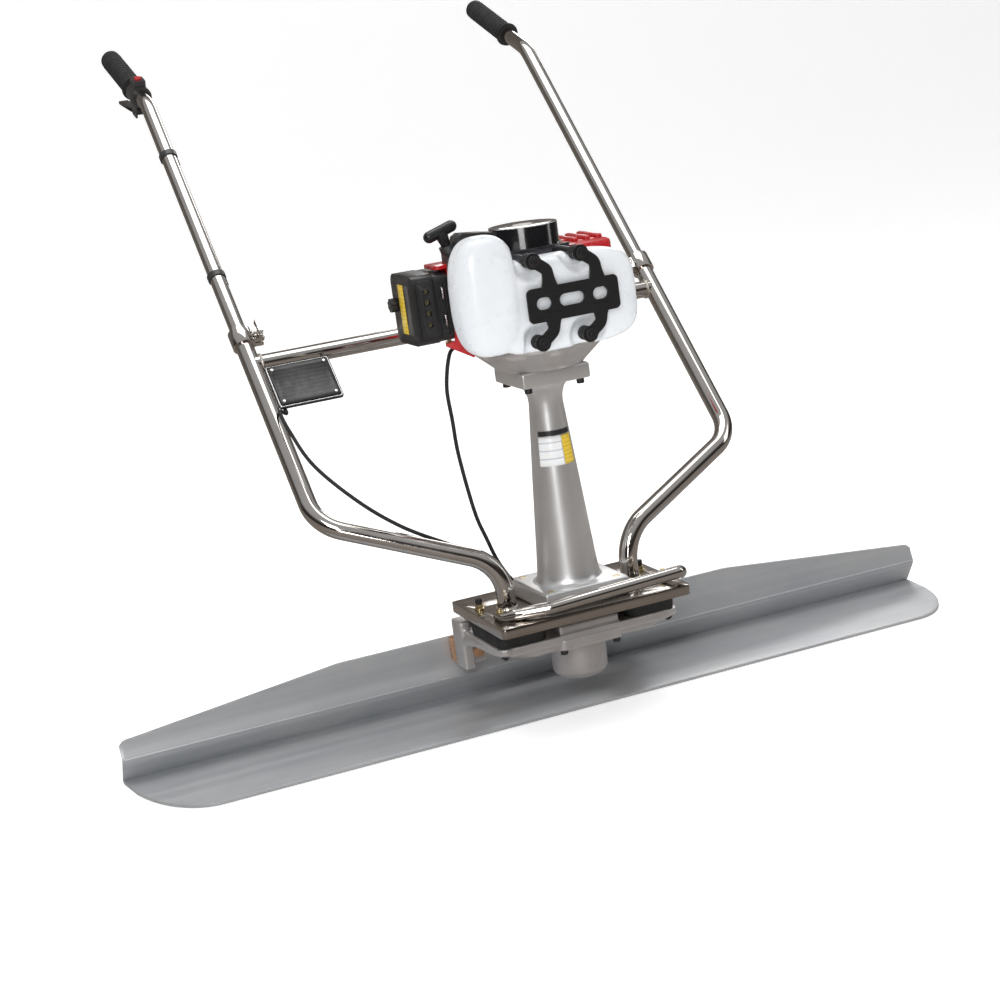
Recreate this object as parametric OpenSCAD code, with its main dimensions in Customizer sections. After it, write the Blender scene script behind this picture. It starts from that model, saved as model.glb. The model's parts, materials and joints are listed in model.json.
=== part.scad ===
// Vibrating power screed: a petrol engine on a tapered column spins an eccentric weight
// that shakes a long finishing blade. The upper unit stands on rubber pads.
// Origin: crank and column axis where it meets the underside of the blade's sole.
// +X along the blade, +Y towards the operator, +Z up. Millimetres.

/* [Blade] */
// overall length of the screed blade
blade_len = 1200; // [1100:50:1800]
// sheet thickness of the sole
sole_t = 4; // [3:0.5:5]
// height of the upright wall in its middle part
wall_h = 94; // [92:1:110]

/* [Column] */
// radius of the column just above its foot
col_r_low = 41; // [38:1:44]
// radius of the column at its waist
col_r_waist = 22; // [21:0.5:25]

/* [Handle] */
// outer diameter of the lower handle tubes
tube_d = 25; // [25:0.5:27]
// half distance between the uprights where they start
grip_half = 305; // [290:5:320]
// length of each rubber grip
grip_len = 132; // [110:2:140]

/* [Engine] */
// radius of the recoil starter housing
starter_r = 44; // [43:0.5:46]
// top of the large lobe of the fuel tank
tank_top = 648; // [640:1:655]

/* [Hidden] */
$fn = 48;
half = blade_len / 2;
tube_r = tube_d / 2;
inner_r = 11.05;
upper_r = 11;
run = 0.05;
foot_x = 90;
foot_y = 5;
plate_z = 150;
bend_y = 89.5;
bend_z = 295;
bar_t = 192;
collar_t = 224;
tube_end_t = 236;
upper_lo_t = 100;
upper_hi_t = 545;
grip_dir = [0, 0.94, 0.3412];
grip_start = 72;
pull_tilt = 17;
pull_dir = [-sin(pull_tilt), 0, cos(pull_tilt)];
grip_at = [-112, 0, 651];
cap_at = [-104, -74, 600];
cap_tilt = -75;
stud_r = 3;
knob_y = 49;
knob_z = 564;
stud_x = 118;
stud_y = [-39, 34];
post_x = [-46.5, 17.5];
post_z = [509, 610];
lug_s = [-1, 1];

function unit(v) = v / norm(v);
function up_pt(s, t) = [s * grip_half, bend_y + t, bend_z + t];
function tangent_len(a, b, c, r) =
    r * tan(acos(unit(b - a) * unit(c - b)) / 2);

module box(x0, x1, y0, y1, z0, z1) {
    translate([x0, y0, z0])
        cube([x1 - x0, y1 - y0, z1 - z0]);
}

module rrect(x0, x1, y0, y1, r) {
    translate([x0 + r, y0])
        square([x1 - x0 - 2 * r, y1 - y0]);
    translate([x0, y0 + r])
        square([x1 - x0, y1 - y0 - 2 * r]);
    for (x = [x0 + r, x1 - r], y = [y0 + r, y1 - r])
        translate([x, y])
            circle(r);
}

module rplate(x0, x1, y0, y1, z0, z1, r) {
    translate([0, 0, z0])
        linear_extrude(z1 - z0)
            rrect(x0, x1, y0, y1, r);
}

module soft_box(x0, x1, y0, y1, z0, z1, r) {
    intersection() {
        rplate(x0, x1, y0, y1, z0, z1, r);
        translate([0, y1, 0])
            rotate([90, 0, 0])
                linear_extrude(y1 - y0)
                    rrect(x0, x1, z0, z1, r);
        translate([x0, 0, 0])
            rotate([90, 0, 90])
                linear_extrude(x1 - x0)
                    rrect(y0, y1, z0, z1, r);
    }
}

module zcyl(x, y, z0, z1, r) {
    translate([x, y, z0])
        cylinder(h = z1 - z0, r = r);
}

module ycyl(x, z, y0, y1, r) {
    translate([x, y0, z])
        rotate([-90, 0, 0])
            cylinder(h = y1 - y0, r = r);
}

module xcyl(y, z, x0, x1, r) {
    translate([x0, y, z])
        rotate([0, 90, 0])
            cylinder(h = x1 - x0, r = r);
}

module ring(ro, ri, z0, z1) {
    translate([0, 0, z0])
        linear_extrude(z1 - z0)
            difference() {
                circle(ro);
                circle(ri);
            }
}

module hex(x, y, z0, z1, r) {
    translate([x, y, z0])
        cylinder(h = z1 - z0, r = r, $fn = 6);
}

module frame_at(o, ex, ey, ez) {
    multmatrix([
        [ex.x, ey.x, ez.x, o.x],
        [ex.y, ey.y, ez.y, o.y],
        [ex.z, ey.z, ez.z, o.z],
        [0, 0, 0, 1]])
        children();
}

module rod(a, b, r) {
    d = b - a;
    l = norm(d);
    translate(a)
        rotate([0, acos(d.z / l), atan2(d.y, d.x)])
            cylinder(h = l, r = r);
}

module elbow(a, b, c, rad, r) {
    d1 = unit(b - a);
    d2 = unit(c - b);
    turn = acos(d1 * d2);
    n = unit(d2 - d1 * (d1 * d2));
    start = b - d1 * (rad * tan(turn / 2));
    frame_at(start + n * rad, -n, d1, cross(-n, d1))
        rotate_extrude(angle = turn)
            translate([rad, 0])
                circle(r);
}

// bends are a hair thicker than the straights, which run a little way into them
module bent_rod(p, rad, r, past) {
    last = len(p) - 1;
    for (i = [0 : last - 1]) {
        d = unit(p[i + 1] - p[i]);
        cut_a = i == 0 ? -past : tangent_len(p[i - 1], p[i], p[i + 1], rad) - 1;
        cut_b = i == last - 1 ? -past : tangent_len(p[i], p[i + 1], p[i + 2], rad) - 1;
        rod(p[i] + d * cut_a, p[i + 1] - d * cut_b, r);
    }
    for (i = [1 : last - 1])
        elbow(p[i - 1], p[i], p[i + 1], rad, r + 0.2);
}

module tube_run(p, rad, ro, ri) {
    difference() {
        bent_rod(p, rad, ro, 0);
        bent_rod(p, rad, ri, 1);
    }
}

module ball_rod(p, r) {
    for (i = [0 : len(p) - 2])
        rod(p[i], p[i + 1], r);
    for (i = [1 : len(p) - 2])
        translate(p[i])
            sphere(r + 0.15, $fn = 24);
}

module on_tube(s, t) {
    ez = unit([0, 1, 1]);
    ex = [-s, 0, 0];
    frame_at(up_pt(s, t), ex, cross(ez, ex), ez)
        children();
}

module on_grip(s, d) {
    ez = unit(grip_dir);
    ex = [1, 0, 0];
    frame_at(up_pt(s, upper_hi_t) + ez * d, ex, cross(ez, ex), ez)
        children();
}

module on_pull(d) {
    frame_at(grip_at + pull_dir * d, [cos(pull_tilt), 0, sin(pull_tilt)], [0, 1, 0], pull_dir)
        children();
}

// lower vibrating unit

module screed_blade() {
    tw = 3.6;
    front = [[146, sole_t - 0.01], [139, 12], [134, 20], [127, 30], [123, 37], [127, 50],
        [128.5, 58], [128.5, wall_h]];
    back = [for (i = [len(front) - 1 : -1 : 0]) [front[i].x + tw, front[i].y]];
    color([0.72, 0.73, 0.75])
        difference() {
            union() {
                linear_extrude(sole_t)
                    polygon(concat(
                        [for (a = [0 : 7.5 : 90]) [half - 90 + 90 * cos(a), 146 - 173 * sin(a)]],
                        [for (a = [90 : -7.5 : 0]) [-half + 90 - 90 * cos(a), 146 - 173 * sin(a)]],
                        [[-half, 150], [half, 150]]));
                intersection() {
                    translate([-half, 0, 0])
                        rotate([90, 0, 90])
                            linear_extrude(blade_len)
                                polygon(concat(front, back));
                    translate([0, 160, 0])
                        rotate([90, 0, 0])
                            linear_extrude(60)
                                polygon([[-half, 0], [half, 0], [half, 57], [half - 4, 61.5],
                                    [293, wall_h], [-293, wall_h], [4 - half, 61.5], [-half, 57]]);
                }
            }
            for (s = lug_s)
                ycyl(s * 108, 76, 120, 140, 5.2);
        }
}

module spacer_blocks() {
    color([0.78, 0.45, 0.28])
        for (s = lug_s)
            difference() {
                translate([s * 115, 118.25, 77.5])
                    cube([40, 20.5, 33], center = true);
                ycyl(s * 108, 76, 100, 140, 5.2);
            }
}

module vibrator_frame() {
    color([0.74, 0.74, 0.73])
        difference() {
            union() {
                rplate(-130, 130, -53, 107, 112, 125, 25);
                rplate(-43, 43, -49, 47, 106, 125, 4);
                for (s = lug_s) {
                    zcyl(s * stud_x, -39, 104, 113, 12);
                    translate([0, -27, 0])
                        rotate([90, 0, 0])
                            linear_extrude(24)
                                polygon([[s * 47, 92], [s * 47, 107], [s * 42, 107], [s * 42, 113],
                                    [s * 116, 113], [s * 116, 105.2]]);
                    translate([s * 127.5, 0, 0])
                        box(-7.5, 7.5, 73, 108, 58, 125);
                    translate([s * 115, 0, 0])
                        box(-20, 20, 95, 108, 58, 125);
                }
            }
            zcyl(0, 0, 80, 113, 30);
            zcyl(0, 0, 112, 130, 34);
            for (s = lug_s) {
                translate([s * 85, 0, 0])
                    rplate(-27, 27, -20, 85, 100, 117, 10);
                for (y = stud_y)
                    zcyl(s * stud_x, y, 90, 130, stud_r + 0.2);
                ycyl(s * 108, 76, 90, 112, 5.2);
                for (y = [-44, 41])
                    zcyl(s * 38, y, 100, 120, 3.1);
            }
        }
}

module bearing_housing() {
    color([0.76, 0.76, 0.75])
        difference() {
            union() {
                rplate(-46, 46, -52, 49, 92, 106, 9);
                rotate_extrude()
                    polygon([[0, 36], [8, 36], [10, 39], [29, 42], [36, 48], [38, 93], [0, 93]]);
            }
            zcyl(0, 0, 57, 73, 21);
            zcyl(0, 0, 72, 110, 30);
            for (s = lug_s, y = [-44, 41])
                zcyl(s * 38, y, 90, 110, 3.1);
        }
}

module housing_bolts() {
    color([0.16, 0.16, 0.17])
        for (s = lug_s, y = [-44, 41]) {
            difference() {
                zcyl(s * 38, y, 86, 92, 5);
                hex(s * 38, y, 85, 89, 2.9);
            }
            zcyl(s * 38, y, 92, 118, 3);
        }
}

module bearing_cover() {
    color([0.7, 0.7, 0.7])
        difference() {
            zcyl(0, 0, 112, 126, 33.95);
            zcyl(0, 0, 111, 123, 21);
            zcyl(0, 0, 120, 130, 12);
        }
}

module eccentric_body() {
    color([0.5, 0.5, 0.52]) {
        zcyl(0, 0, 57.5, 72, 8.5);
        zcyl(0, 0, 72, 112, 11);
        zcyl(0, 0, 112, 123, 8.5);
        zcyl(0, 0, 123, 136, 7);
        intersection() {
            zcyl(0, 0, 80, 108, 27);
            box(-30, 30, 0, 30, 79, 109);
        }
    }
}

module eccentric_bearings() {
    color([0.6, 0.61, 0.63]) {
        ring(21, 8.5 + run, 57, 71);
        ring(21, 8.5 + run, 112.1, 123);
    }
}

module isolator_bolts() {
    color([0.13, 0.13, 0.14])
        for (s = lug_s, i = [0, 1]) {
            nut_z = i == 0 ? 104 : 112;
            zcyl(s * stud_x, stud_y[i], nut_z - 8, 132, stud_r);
            hex(s * stud_x, stud_y[i], nut_z - 5.5, nut_z, 5.8);
        }
}

module rubber_pads() {
    color([0.07, 0.07, 0.07])
        difference() {
            for (s = lug_s)
                translate([s * 93, 0, 0])
                    rplate(-35, 35, -50, 60, 125, 146, 14);
            for (s = lug_s, y = stud_y) {
                zcyl(s * stud_x, y, 124, 133, stud_r + 0.05);
                zcyl(s * stud_x, y, 137.5, 147, stud_r + 0.05);
            }
        }
}

module wall_bolts() {
    color([0.8, 0.52, 0.3])
        for (s = lug_s) {
            translate([s * 108, 95, 76])
                rotate([90, 0, 0])
                    cylinder(h = 7.5, r = 9, $fn = 6);
            ycyl(s * 108, 76, 95, 145, 5);
        }
}

module wall_nuts() {
    color([0.82, 0.72, 0.42])
        for (s = lug_s)
            difference() {
                union() {
                    ycyl(s * 108, 76, 132.15, 134, 11);
                    translate([s * 108, 142, 76])
                        rotate([90, 0, 0])
                            cylinder(h = 8, r = 9, $fn = 6);
                }
                ycyl(s * 108, 76, 130, 150, 5.02);
            }
}

// coupling and drive line

module jaw_pair(z0, z1, turn) {
    intersection() {
        ring(20, 9.5, z0, z1);
        rotate([0, 0, turn])
            translate([0, 0, z0])
                linear_extrude(z1 - z0)
                    union() {
                        polygon([[0, 0], [30, 30 * tan(25)], [30, -30 * tan(25)]]);
                        polygon([[0, 0], [-30, 30 * tan(25)], [-30, -30 * tan(25)]]);
                    }
    }
}

module coupling_lower() {
    color([0.45, 0.45, 0.47]) {
        ring(20, 7.01, 128, 136);
        jaw_pair(135.9, 148, 0);
    }
}

module coupling_spider() {
    color([0.75, 0.12, 0.08])
        union() {
            zcyl(0, 0, 139, 153, 7);
            for (a = [45, 135])
                rotate([0, 0, a])
                    translate([-19, -2.2, 139])
                        cube([38, 4.4, 14]);
        }
}

module coupling_upper() {
    color([0.45, 0.45, 0.47]) {
        ring(20, 6.01, 156, 170);
        jaw_pair(144, 156.1, 90);
    }
}

module shaft_body() {
    color([0.55, 0.55, 0.57]) {
        zcyl(0, 0, 156.2, 467, 6);
        zcyl(0, 0, 200, 420, 7.5);
    }
}

module column_races() {
    color([0.6, 0.61, 0.63]) {
        ring(14, 6 + run, 187, 197);
        ring(14, 6 + run, 424, 434);
    }
}

module clutch_drum() {
    color([0.5, 0.5, 0.52])
        difference() {
            union() {
                zcyl(0, 0, 450, 466, 10);
                zcyl(0, 0, 465, 486, 38);
            }
            zcyl(0, 0, 468.5, 490, 35);
            zcyl(0, 0, 440, 470, 6.01);
        }
}

// base plate and column

module base_plate() {
    color([0.66, 0.66, 0.66])
        difference() {
            rplate(-135, 135, -85, 97, 137, plate_z, 7);
            rplate(-131, 131, -81, 93, 130, plate_z - 4, 4);
            zcyl(0, 0, 140, 160, 30);
            for (s = lug_s) {
                for (y = stud_y)
                    zcyl(s * stud_x, y, 140, 160, stud_r + 0.2);
                for (y = lug_s)
                    zcyl(s * 47, y * 47, 140, 160, 3.2);
            }
        }
}

module plate_studs() {
    color([0.82, 0.7, 0.38])
        for (s = lug_s, i = [0, 1]) {
            nut_z = i == 0 ? 155 : plate_z;
            zcyl(s * stud_x, stud_y[i], 138, nut_z + 11, stud_r);
            zcyl(s * stud_x, stud_y[i], nut_z, nut_z + 1.2, 6.5);
            hex(s * stud_x, stud_y[i], nut_z + 1.2, nut_z + 6.4, 5.8);
        }
}

module stud_caps() {
    color([0.06, 0.06, 0.07])
        for (s = lug_s)
            difference() {
                zcyl(s * stud_x, stud_y[1], plate_z + 6.4, plate_z + 13.5, 4.6);
                zcyl(s * stud_x, stud_y[1], plate_z + 6, plate_z + 11.5, stud_r + 0.05);
            }
}

module front_bar() {
    color([0.8, 0.8, 0.8]) {
        tube_run([[-112, -54, 160], [-58, -75, 161], [138, -76, 169], [122, -54, 160]], 12, 8.5, 7);
        for (s = lug_s)
            difference() {
                translate([s * 118, 0, 0])
                    rplate(-11, 11, -64, -29, plate_z, 155, 9);
                zcyl(s * stud_x, -39, 140, 160, stud_r + 0.2);
            }
    }
}

module column() {
    color([0.7, 0.71, 0.72])
        difference() {
            union() {
                rplate(-60, 60, -60, 60, plate_z, 174, 9);
                rotate_extrude()
                    polygon([[0, 170], [50, 170], [50, 174], [44, 177], [col_r_low, 183],
                        [38.5, 209], [31, 307], [col_r_waist + 1, 398], [col_r_waist, 415],
                        [26, 428], [36, 441], [0, 441]]);
                rplate(-47.5, 47.5, -47.5, 47.5, 440, 460, 12);
            }
            zcyl(0, 0, 140, 182, 26);
            zcyl(0, 0, 180, 440, 14);
            zcyl(0, 0, 436, 470, 30);
            for (x = lug_s, y = lug_s) {
                zcyl(x * 47, y * 47, 140, 180, 3.2);
                zcyl(x * 47, y * 47, 170, 180, 5);
                zcyl(x * 36.5, y * 36.5, 430, 470, 3.2);
            }
        }
}

module foot_bolts() {
    color([0.78, 0.68, 0.4])
        for (x = lug_s, y = lug_s) {
            difference() {
                zcyl(x * 47, y * 47, 170, 174.4, 4.8);
                hex(x * 47, y * 47, 172, 176, 2.6);
            }
            zcyl(x * 47, y * 47, 138, 170, 3);
        }
}

module foot_nuts() {
    color([0.78, 0.68, 0.4])
        for (x = lug_s, y = lug_s)
            difference() {
                hex(x * 47, y * 47, 141, 146, 5.8);
                zcyl(x * 47, y * 47, 130, 150, 3.02);
            }
}

module flange_bolts() {
    color([0.2, 0.2, 0.21])
        for (x = lug_s, y = lug_s) {
            difference() {
                zcyl(x * 36.5, y * 36.5, 433, 440, 5);
                hex(x * 36.5, y * 36.5, 432, 437, 2.9);
            }
            zcyl(x * 36.5, y * 36.5, 440, 480, 3);
        }
}

// engine

module clutch_housing() {
    color([0.68, 0.68, 0.69])
        difference() {
            rotate_extrude()
                polygon([[0, 460], [56, 460], [60, 464], [78, 480], [86, 487], [86, 491],
                    [70, 494], [0, 494]]);
            zcyl(0, 0, 463, 500, 41);
            zcyl(0, 0, 450, 470, 20);
            for (x = lug_s, y = lug_s)
                zcyl(x * 36.5, y * 36.5, 455, 482, 3.2);
        }
}

module clutch_shoes() {
    color([0.35, 0.3, 0.27])
        for (s = lug_s)
            intersection() {
                ring(34.5, 14.02, 471, 484);
                box(-40, 40, s > 0 ? 3 : -40, s > 0 ? 40 : -3, 470, 485);
            }
}

module crankcase() {
    color([0.66, 0.66, 0.67])
        difference() {
            union() {
                zcyl(0, 0, 494, 560, 52);
                box(-28, 28, -54, -30, 505, 550);
                box(-30, 30, 30, 54, 497, 553);
            }
            zcyl(0, 0, 504, 550, 34);
            zcyl(0, 0, 490, 565, 9.5);
            zcyl(0, 0, 494.5, 504.5, 17);
            zcyl(0, 0, 549.5, 559.5, 17);
            ycyl(0, 525, 20, 60, 20.5);
            for (s = lug_s)
                ycyl(s * 20, 532, -60, -45, 2.6);
        }
}

module crank_races() {
    color([0.6, 0.61, 0.63]) {
        ring(17, 8.5 + run, 494.5, 504.5);
        ring(17, 8.5 + run, 549.5, 559.5);
    }
}

module crankshaft() {
    color([0.55, 0.55, 0.57]) {
        zcyl(0, 0, 471, 486, 14);
        zcyl(0, 0, 484, 513, 8.5);
        zcyl(0, 0, 506, 514, 31);
        zcyl(0, 0, 537, 545, 31);
        zcyl(0, 0, 540, 562, 8.5);
        zcyl(0, 0, 561, 604, 7);
    }
}

module crank_pin() {
    color([0.6, 0.6, 0.62])
        zcyl(0, 14, 515, 536, 7);
}

module rod_body() {
    color([0.62, 0.62, 0.63])
        difference() {
            union() {
                zcyl(0, 14, 518, 532, 11);
                zcyl(0, 62, 518, 532, 8.5);
                box(-5, 5, 14, 62, 520, 530);
            }
            zcyl(0, 14, 510, 540, 7 + run);
            zcyl(0, 62, 510, 540, 4 + run);
        }
}

module piston_body() {
    color([0.72, 0.72, 0.73])
        difference() {
            ycyl(0, 525, 52, 84, 19.95);
            ycyl(0, 525, 50, 78, 16.5);
            zcyl(0, 62, 500, 550, 4 + run);
            for (y = [75, 79.5])
                difference() {
                    ycyl(0, 525, y, y + 1.5, 22);
                    ycyl(0, 525, y - 1, y + 3, 18.6);
                }
        }
}

module piston_rings() {
    color([0.4, 0.4, 0.42])
        for (y = [75.1, 79.6])
            difference() {
                ycyl(0, 525, y, y + 1.3, 19.98);
                ycyl(0, 525, y - 1, y + 3, 18.7);
            }
}

module wrist_pin() {
    color([0.6, 0.6, 0.62])
        zcyl(0, 62, 509, 541, 4);
}

module cylinder_barrel() {
    color([0.7, 0.7, 0.71])
        difference() {
            union() {
                ycyl(0, 525, 54, 100, 25);
                box(-30, 30, 54, 59, 497, 553);
                for (i = [0 : 6])
                    box(-34, 34, 63 + 6 * i, 65.2 + 6 * i, 496.5, 554);
                box(-44, 44, 66, 84, 516, 534);
            }
            ycyl(0, 525, 50, 88, 20);
            ycyl(0, 525, 80, 110, 5.2);
            ycyl(0, 525, 99.9, 110, 10);
            xcyl(75, 525, -50, 50, 6);
        }
}

module plug_body() {
    color([0.85, 0.85, 0.82]) {
        ycyl(0, 525, 90, 101, 5);
        translate([0, 99.9, 525])
            rotate([-90, 0, 0])
                cylinder(h = 8, r = 9, $fn = 6);
        ycyl(0, 525, 107, 126, 4.5);
    }
}

module plug_cap() {
    color([0.07, 0.07, 0.07])
        difference() {
            union() {
                ycyl(0, 525, 109, 134, 8);
                zcyl(0, 126, 526, 545, 7);
            }
            ycyl(0, 525, 100, 127, 4.55);
        }
}

module fan_wheel() {
    color([0.62, 0.63, 0.65])
        difference() {
            union() {
                zcyl(0, 0, 566, 572, 44);
                zcyl(0, 0, 563, 590, 13);
                for (a = [0 : 30 : 330])
                    rotate([0, 0, a])
                        translate([22, -1.2, 571])
                            cube([20, 2.4, 17]);
            }
            zcyl(0, 0, 560, 600, 7.01);
        }
}

module starter_cup() {
    color([0.5, 0.5, 0.52])
        difference() {
            zcyl(0, 0, 590, 611, 22);
            zcyl(0, 0, 598, 620, 19);
            zcyl(0, 0, 580, 600, 7.01);
        }
}

module crank_nut() {
    color([0.78, 0.68, 0.4])
        difference() {
            hex(0, 0, 598, 605, 11);
            zcyl(0, 0, 590, 610, 7.01);
        }
}

module ignition_coil() {
    color([0.12, 0.12, 0.13]) {
        box(-12, 12, 46, 64, 565, 583);
        xcyl(55, 574, -16, 16, 7);
    }
}

module engine_shroud() {
    color([0.78, 0.05, 0.07])
        difference() {
            union() {
                rplate(-52, 52, -52, 60, 560.2, 612, 12);
                rplate(-52, 52, 40, 112, 560.2, 606, 12);
                rplate(-52, 52, 56, 112, 503, 565, 12);
                rplate(-116, -50, -18, 26, 582, 611, 8);
                rplate(-132, -100, -18, 26, 606.5, 611, 6);
                translate([0, -13, 0])
                    rotate([90, 0, 0])
                        linear_extrude(5)
                            polygon([[-53, 600], [-53, 497], [-88, 497], [-96, 489], [-130, 509],
                                [-130, 513], [-117.5, 514], [-115.5, 600]]);
                for (i = [0 : 3])
                    rplate(-40, 40, 66 + 10 * i, 70 + 10 * i, 605, 610, 1.9);
            }
            rplate(-49.5, 49.5, -49.5, 57.5, 550, 609.5, 10);
            rplate(-49.5, 49.5, 30, 109.5, 490, 603.5, 10);
            rplate(-119, -49, -13, 23.5, 570, 608.5, 6);
            zcyl(0, 0, 600, 620, 40);
            box(-80, 80, 62, 88, 500, 540);
            ycyl(0, 525, 100, 130, 11);
        }
}

module intake_block() {
    color([0.1, 0.1, 0.11])
        difference() {
            union() {
                box(-60, -44.1, 63, 87, 512, 538);
                xcyl(75, 525, -80, -44.1, 10);
            }
            xcyl(75, 525, -90, -40, 6);
        }
}

module carburettor() {
    color([0.72, 0.72, 0.74])
        difference() {
            union() {
                box(-116, -80, 52, 90, 508, 545);
                box(-110, -86, 56, 80, 545, 552);
                xcyl(75, 525, -118, -116, 14);
            }
            xcyl(75, 525, -120, -79, 7);
            ycyl(-98, 530, 84.5, 91, 9.4);
            zcyl(-98, 60, 500, 512, 2.6 + run);
            zcyl(-92, 66, 549, 560, 2.6 + run);
        }
}

module throttle_arm() {
    color([0.8, 0.72, 0.45]) {
        zcyl(-98, 60, 503, 511, 2.6);
        translate([-98, 0, 0])
            rplate(-5, 5, 34, 66, 501, 503, 4.9);
        zcyl(-98, 38, 498, 501, 2);
    }
}

module choke_lever() {
    color([0.1, 0.1, 0.11]) {
        zcyl(-92, 66, 550, 556, 2.6);
        translate([-92, 0, 0])
            rplate(-5, 5, 61, 92, 555, 558, 4.9);
    }
}

module primer_bulb() {
    color([0.75, 0.5, 0.35]) {
        ycyl(-98, 530, 89, 93, 9);
        translate([-98, 93, 530])
            rotate([-90, 0, 0])
                rotate_extrude()
                    intersection() {
                        circle(8);
                        square([10, 10]);
                    }
    }
}

module cleaner_plate() {
    color([0.08, 0.08, 0.09])
        difference() {
            union() {
                rotate([90, 0, 90])
                    translate([0, 0, -137])
                        linear_extrude(18.9)
                            rrect(-20, 59, 516, 603, 12);
                rotate([90, 0, 90])
                    translate([0, 0, -130.01])
                        linear_extrude(12.01)
                            rrect(40, 88, 506, 580, 8);
            }
            xcyl(75, 525, -124, -110, 7);
            xcyl(knob_y, knob_z, -140, -128, 3);
            box(-128, -122, 30, 84, 512, 545);
            box(-140, -126, 24, 38, 522, 545);
        }
}

module air_filter() {
    color([0.85, 0.8, 0.6])
        box(-158, -137, -13, 42, 526, 592);
}

module air_cleaner_cover() {
    color([0.06, 0.06, 0.07])
        difference() {
            union() {
                rotate([90, 0, 90])
                    translate([0, 0, -166])
                        linear_extrude(29)
                            rrect(-21, 60, 515, 604, 12);
                translate([0, -20, 0])
                    rotate([90, 0, 0])
                        linear_extrude(4)
                            rrect(-163, -139, 523, 597, 9);
            }
            rotate([90, 0, 90])
                translate([0, 0, -162.5])
                    linear_extrude(40)
                        rrect(-17.5, 56.5, 518.5, 600.5, 9);
            for (z = [541, 555, 569, 583])
                ycyl(-150, z, -30, -10, 3.8);
            xcyl(knob_y, knob_z, -170, -160, 3.3);
        }
}

module air_cleaner_knob() {
    color([0.05, 0.05, 0.06]) {
        xcyl(knob_y, knob_z, -167, -129, 2.8);
        difference() {
            xcyl(knob_y, knob_z, -175, -166.1, 9);
            for (a = [0 : 45 : 315])
                xcyl(knob_y + 10.5 * cos(a), knob_z + 10.5 * sin(a), -180, -160, 2.8);
        }
    }
}

module muffler() {
    color([0.35, 0.33, 0.32])
        difference() {
            union() {
                soft_box(62, 124, 34, 94, 506, 566, 10);
                box(44.1, 64, 64, 86, 513, 537);
                xcyl(44, 522, 120, 132, 6);
            }
            soft_box(64, 122, 36, 92, 508, 564, 8);
            xcyl(75, 525, 40, 70, 6);
            xcyl(44, 522, 110, 140, 4.6);
        }
}

module muffler_cover() {
    color([0.8, 0.05, 0.07])
        difference() {
            union() {
                soft_box(53, 134, 22, 102, 503, 605, 14);
                for (i = [0 : 3])
                    soft_box(62 + 17 * i, 72 + 17 * i, 30, 96, 596, 610, 4.9);
            }
            soft_box(45, 131, 25, 99, 506, 602, 11);
            box(40, 60, 28, 96, 508, 560);
            box(50, 128, 30, 94, 495, 510);
            for (i = [0 : 5])
                box(70 + 9 * i, 74 + 9 * i, 95, 110, 520, 590);
            xcyl(44, 522, 125, 140, 8);
        }
}

module starter_shell() {
    color([0.05, 0.05, 0.06])
        difference() {
            union() {
                zcyl(0, 0, 612, 642, starter_r);
                zcyl(0, 0, 612, 615.5, starter_r + 3);
            }
            zcyl(0, 0, 611, 637, starter_r - 4);
            xcyl(0, 624, -60, 0, 3.2);
            zcyl(0, 0, 640.5, 645, starter_r - 4);
        }
    color([0.05, 0.05, 0.06])
        zcyl(0, 0, 613, 637.5, 5);
}

module starter_disc() {
    color([0.78, 0.76, 0.7])
        zcyl(0, 0, 640.6, 642.2, starter_r - 4.2);
}

module pulley_body() {
    color([0.15, 0.15, 0.16])
        difference() {
            zcyl(0, 0, 614, 630, 32);
            difference() {
                zcyl(0, 0, 616.5, 627.5, 40);
                zcyl(0, 0, 616, 628, 24);
            }
            zcyl(0, 0, 610, 640, 5 + run);
        }
}

module rope_coil() {
    color([0.1, 0.1, 0.1])
        translate([0, 0, 622])
            rotate_extrude()
                for (i = [-1 : 1])
                    translate([26.6, 3.4 * i])
                        circle(1.65);
}

module rope_guide() {
    color([0.06, 0.06, 0.07])
        difference() {
            union() {
                xcyl(0, 624, -100, -starter_r + 0.6, 7);
                on_pull(-28)
                    cylinder(h = 9, r = 10);
                on_pull(-34)
                    cylinder(h = 7, r = 7.5);
                translate([0, 13, 0])
                    rotate([90, 0, 0])
                        linear_extrude(26)
                            polygon([[-110, 611.05], [-110, 621], [-97.5, 632], [-95, 641],
                                [-88, 645], [-62, 642.5], [-40, 639], [-40, 612.05],
                                [-52.5, 612.05], [-52.5, 611.05]]);
            }
            zcyl(0, 0, 600, 650, starter_r + 0.02);
            zcyl(0, 0, 600, 615.7, starter_r + 3.02);
            xcyl(0, 624.22, -104, -30, 2.2);
            on_pull(-29)
                cylinder(h = 20, r = 2.2);
            on_pull(-28)
                sphere(2.2);
        }
}

module starter_rope() {
    color([0.12, 0.12, 0.12]) {
        on_pull(-28)
            cylinder(h = 17, r = 1.7);
        on_pull(-28)
            sphere(1.9);
        xcyl(0, 624.22, -103.8, -29.8, 1.7);
    }
}

module starter_grip() {
    color([0.05, 0.05, 0.06])
        difference() {
            union() {
                on_pull(0)
                    translate([-16, 0, 0])
                        rotate([0, 90, 0])
                            cylinder(h = 32, r = 7.5);
                for (s = lug_s)
                    on_pull(0)
                        translate([s * 16, 0, 0])
                            sphere(7.5);
                on_pull(-18.5)
                    cylinder(h = 18, r1 = 6, r2 = 9);
            }
            on_pull(-20)
                cylinder(h = 14, r = 1.9);
        }
}

module on_neck(d) {
    translate(cap_at)
        rotate([cap_tilt, 0, 0])
            translate([0, 0, d])
                children();
}

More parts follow.
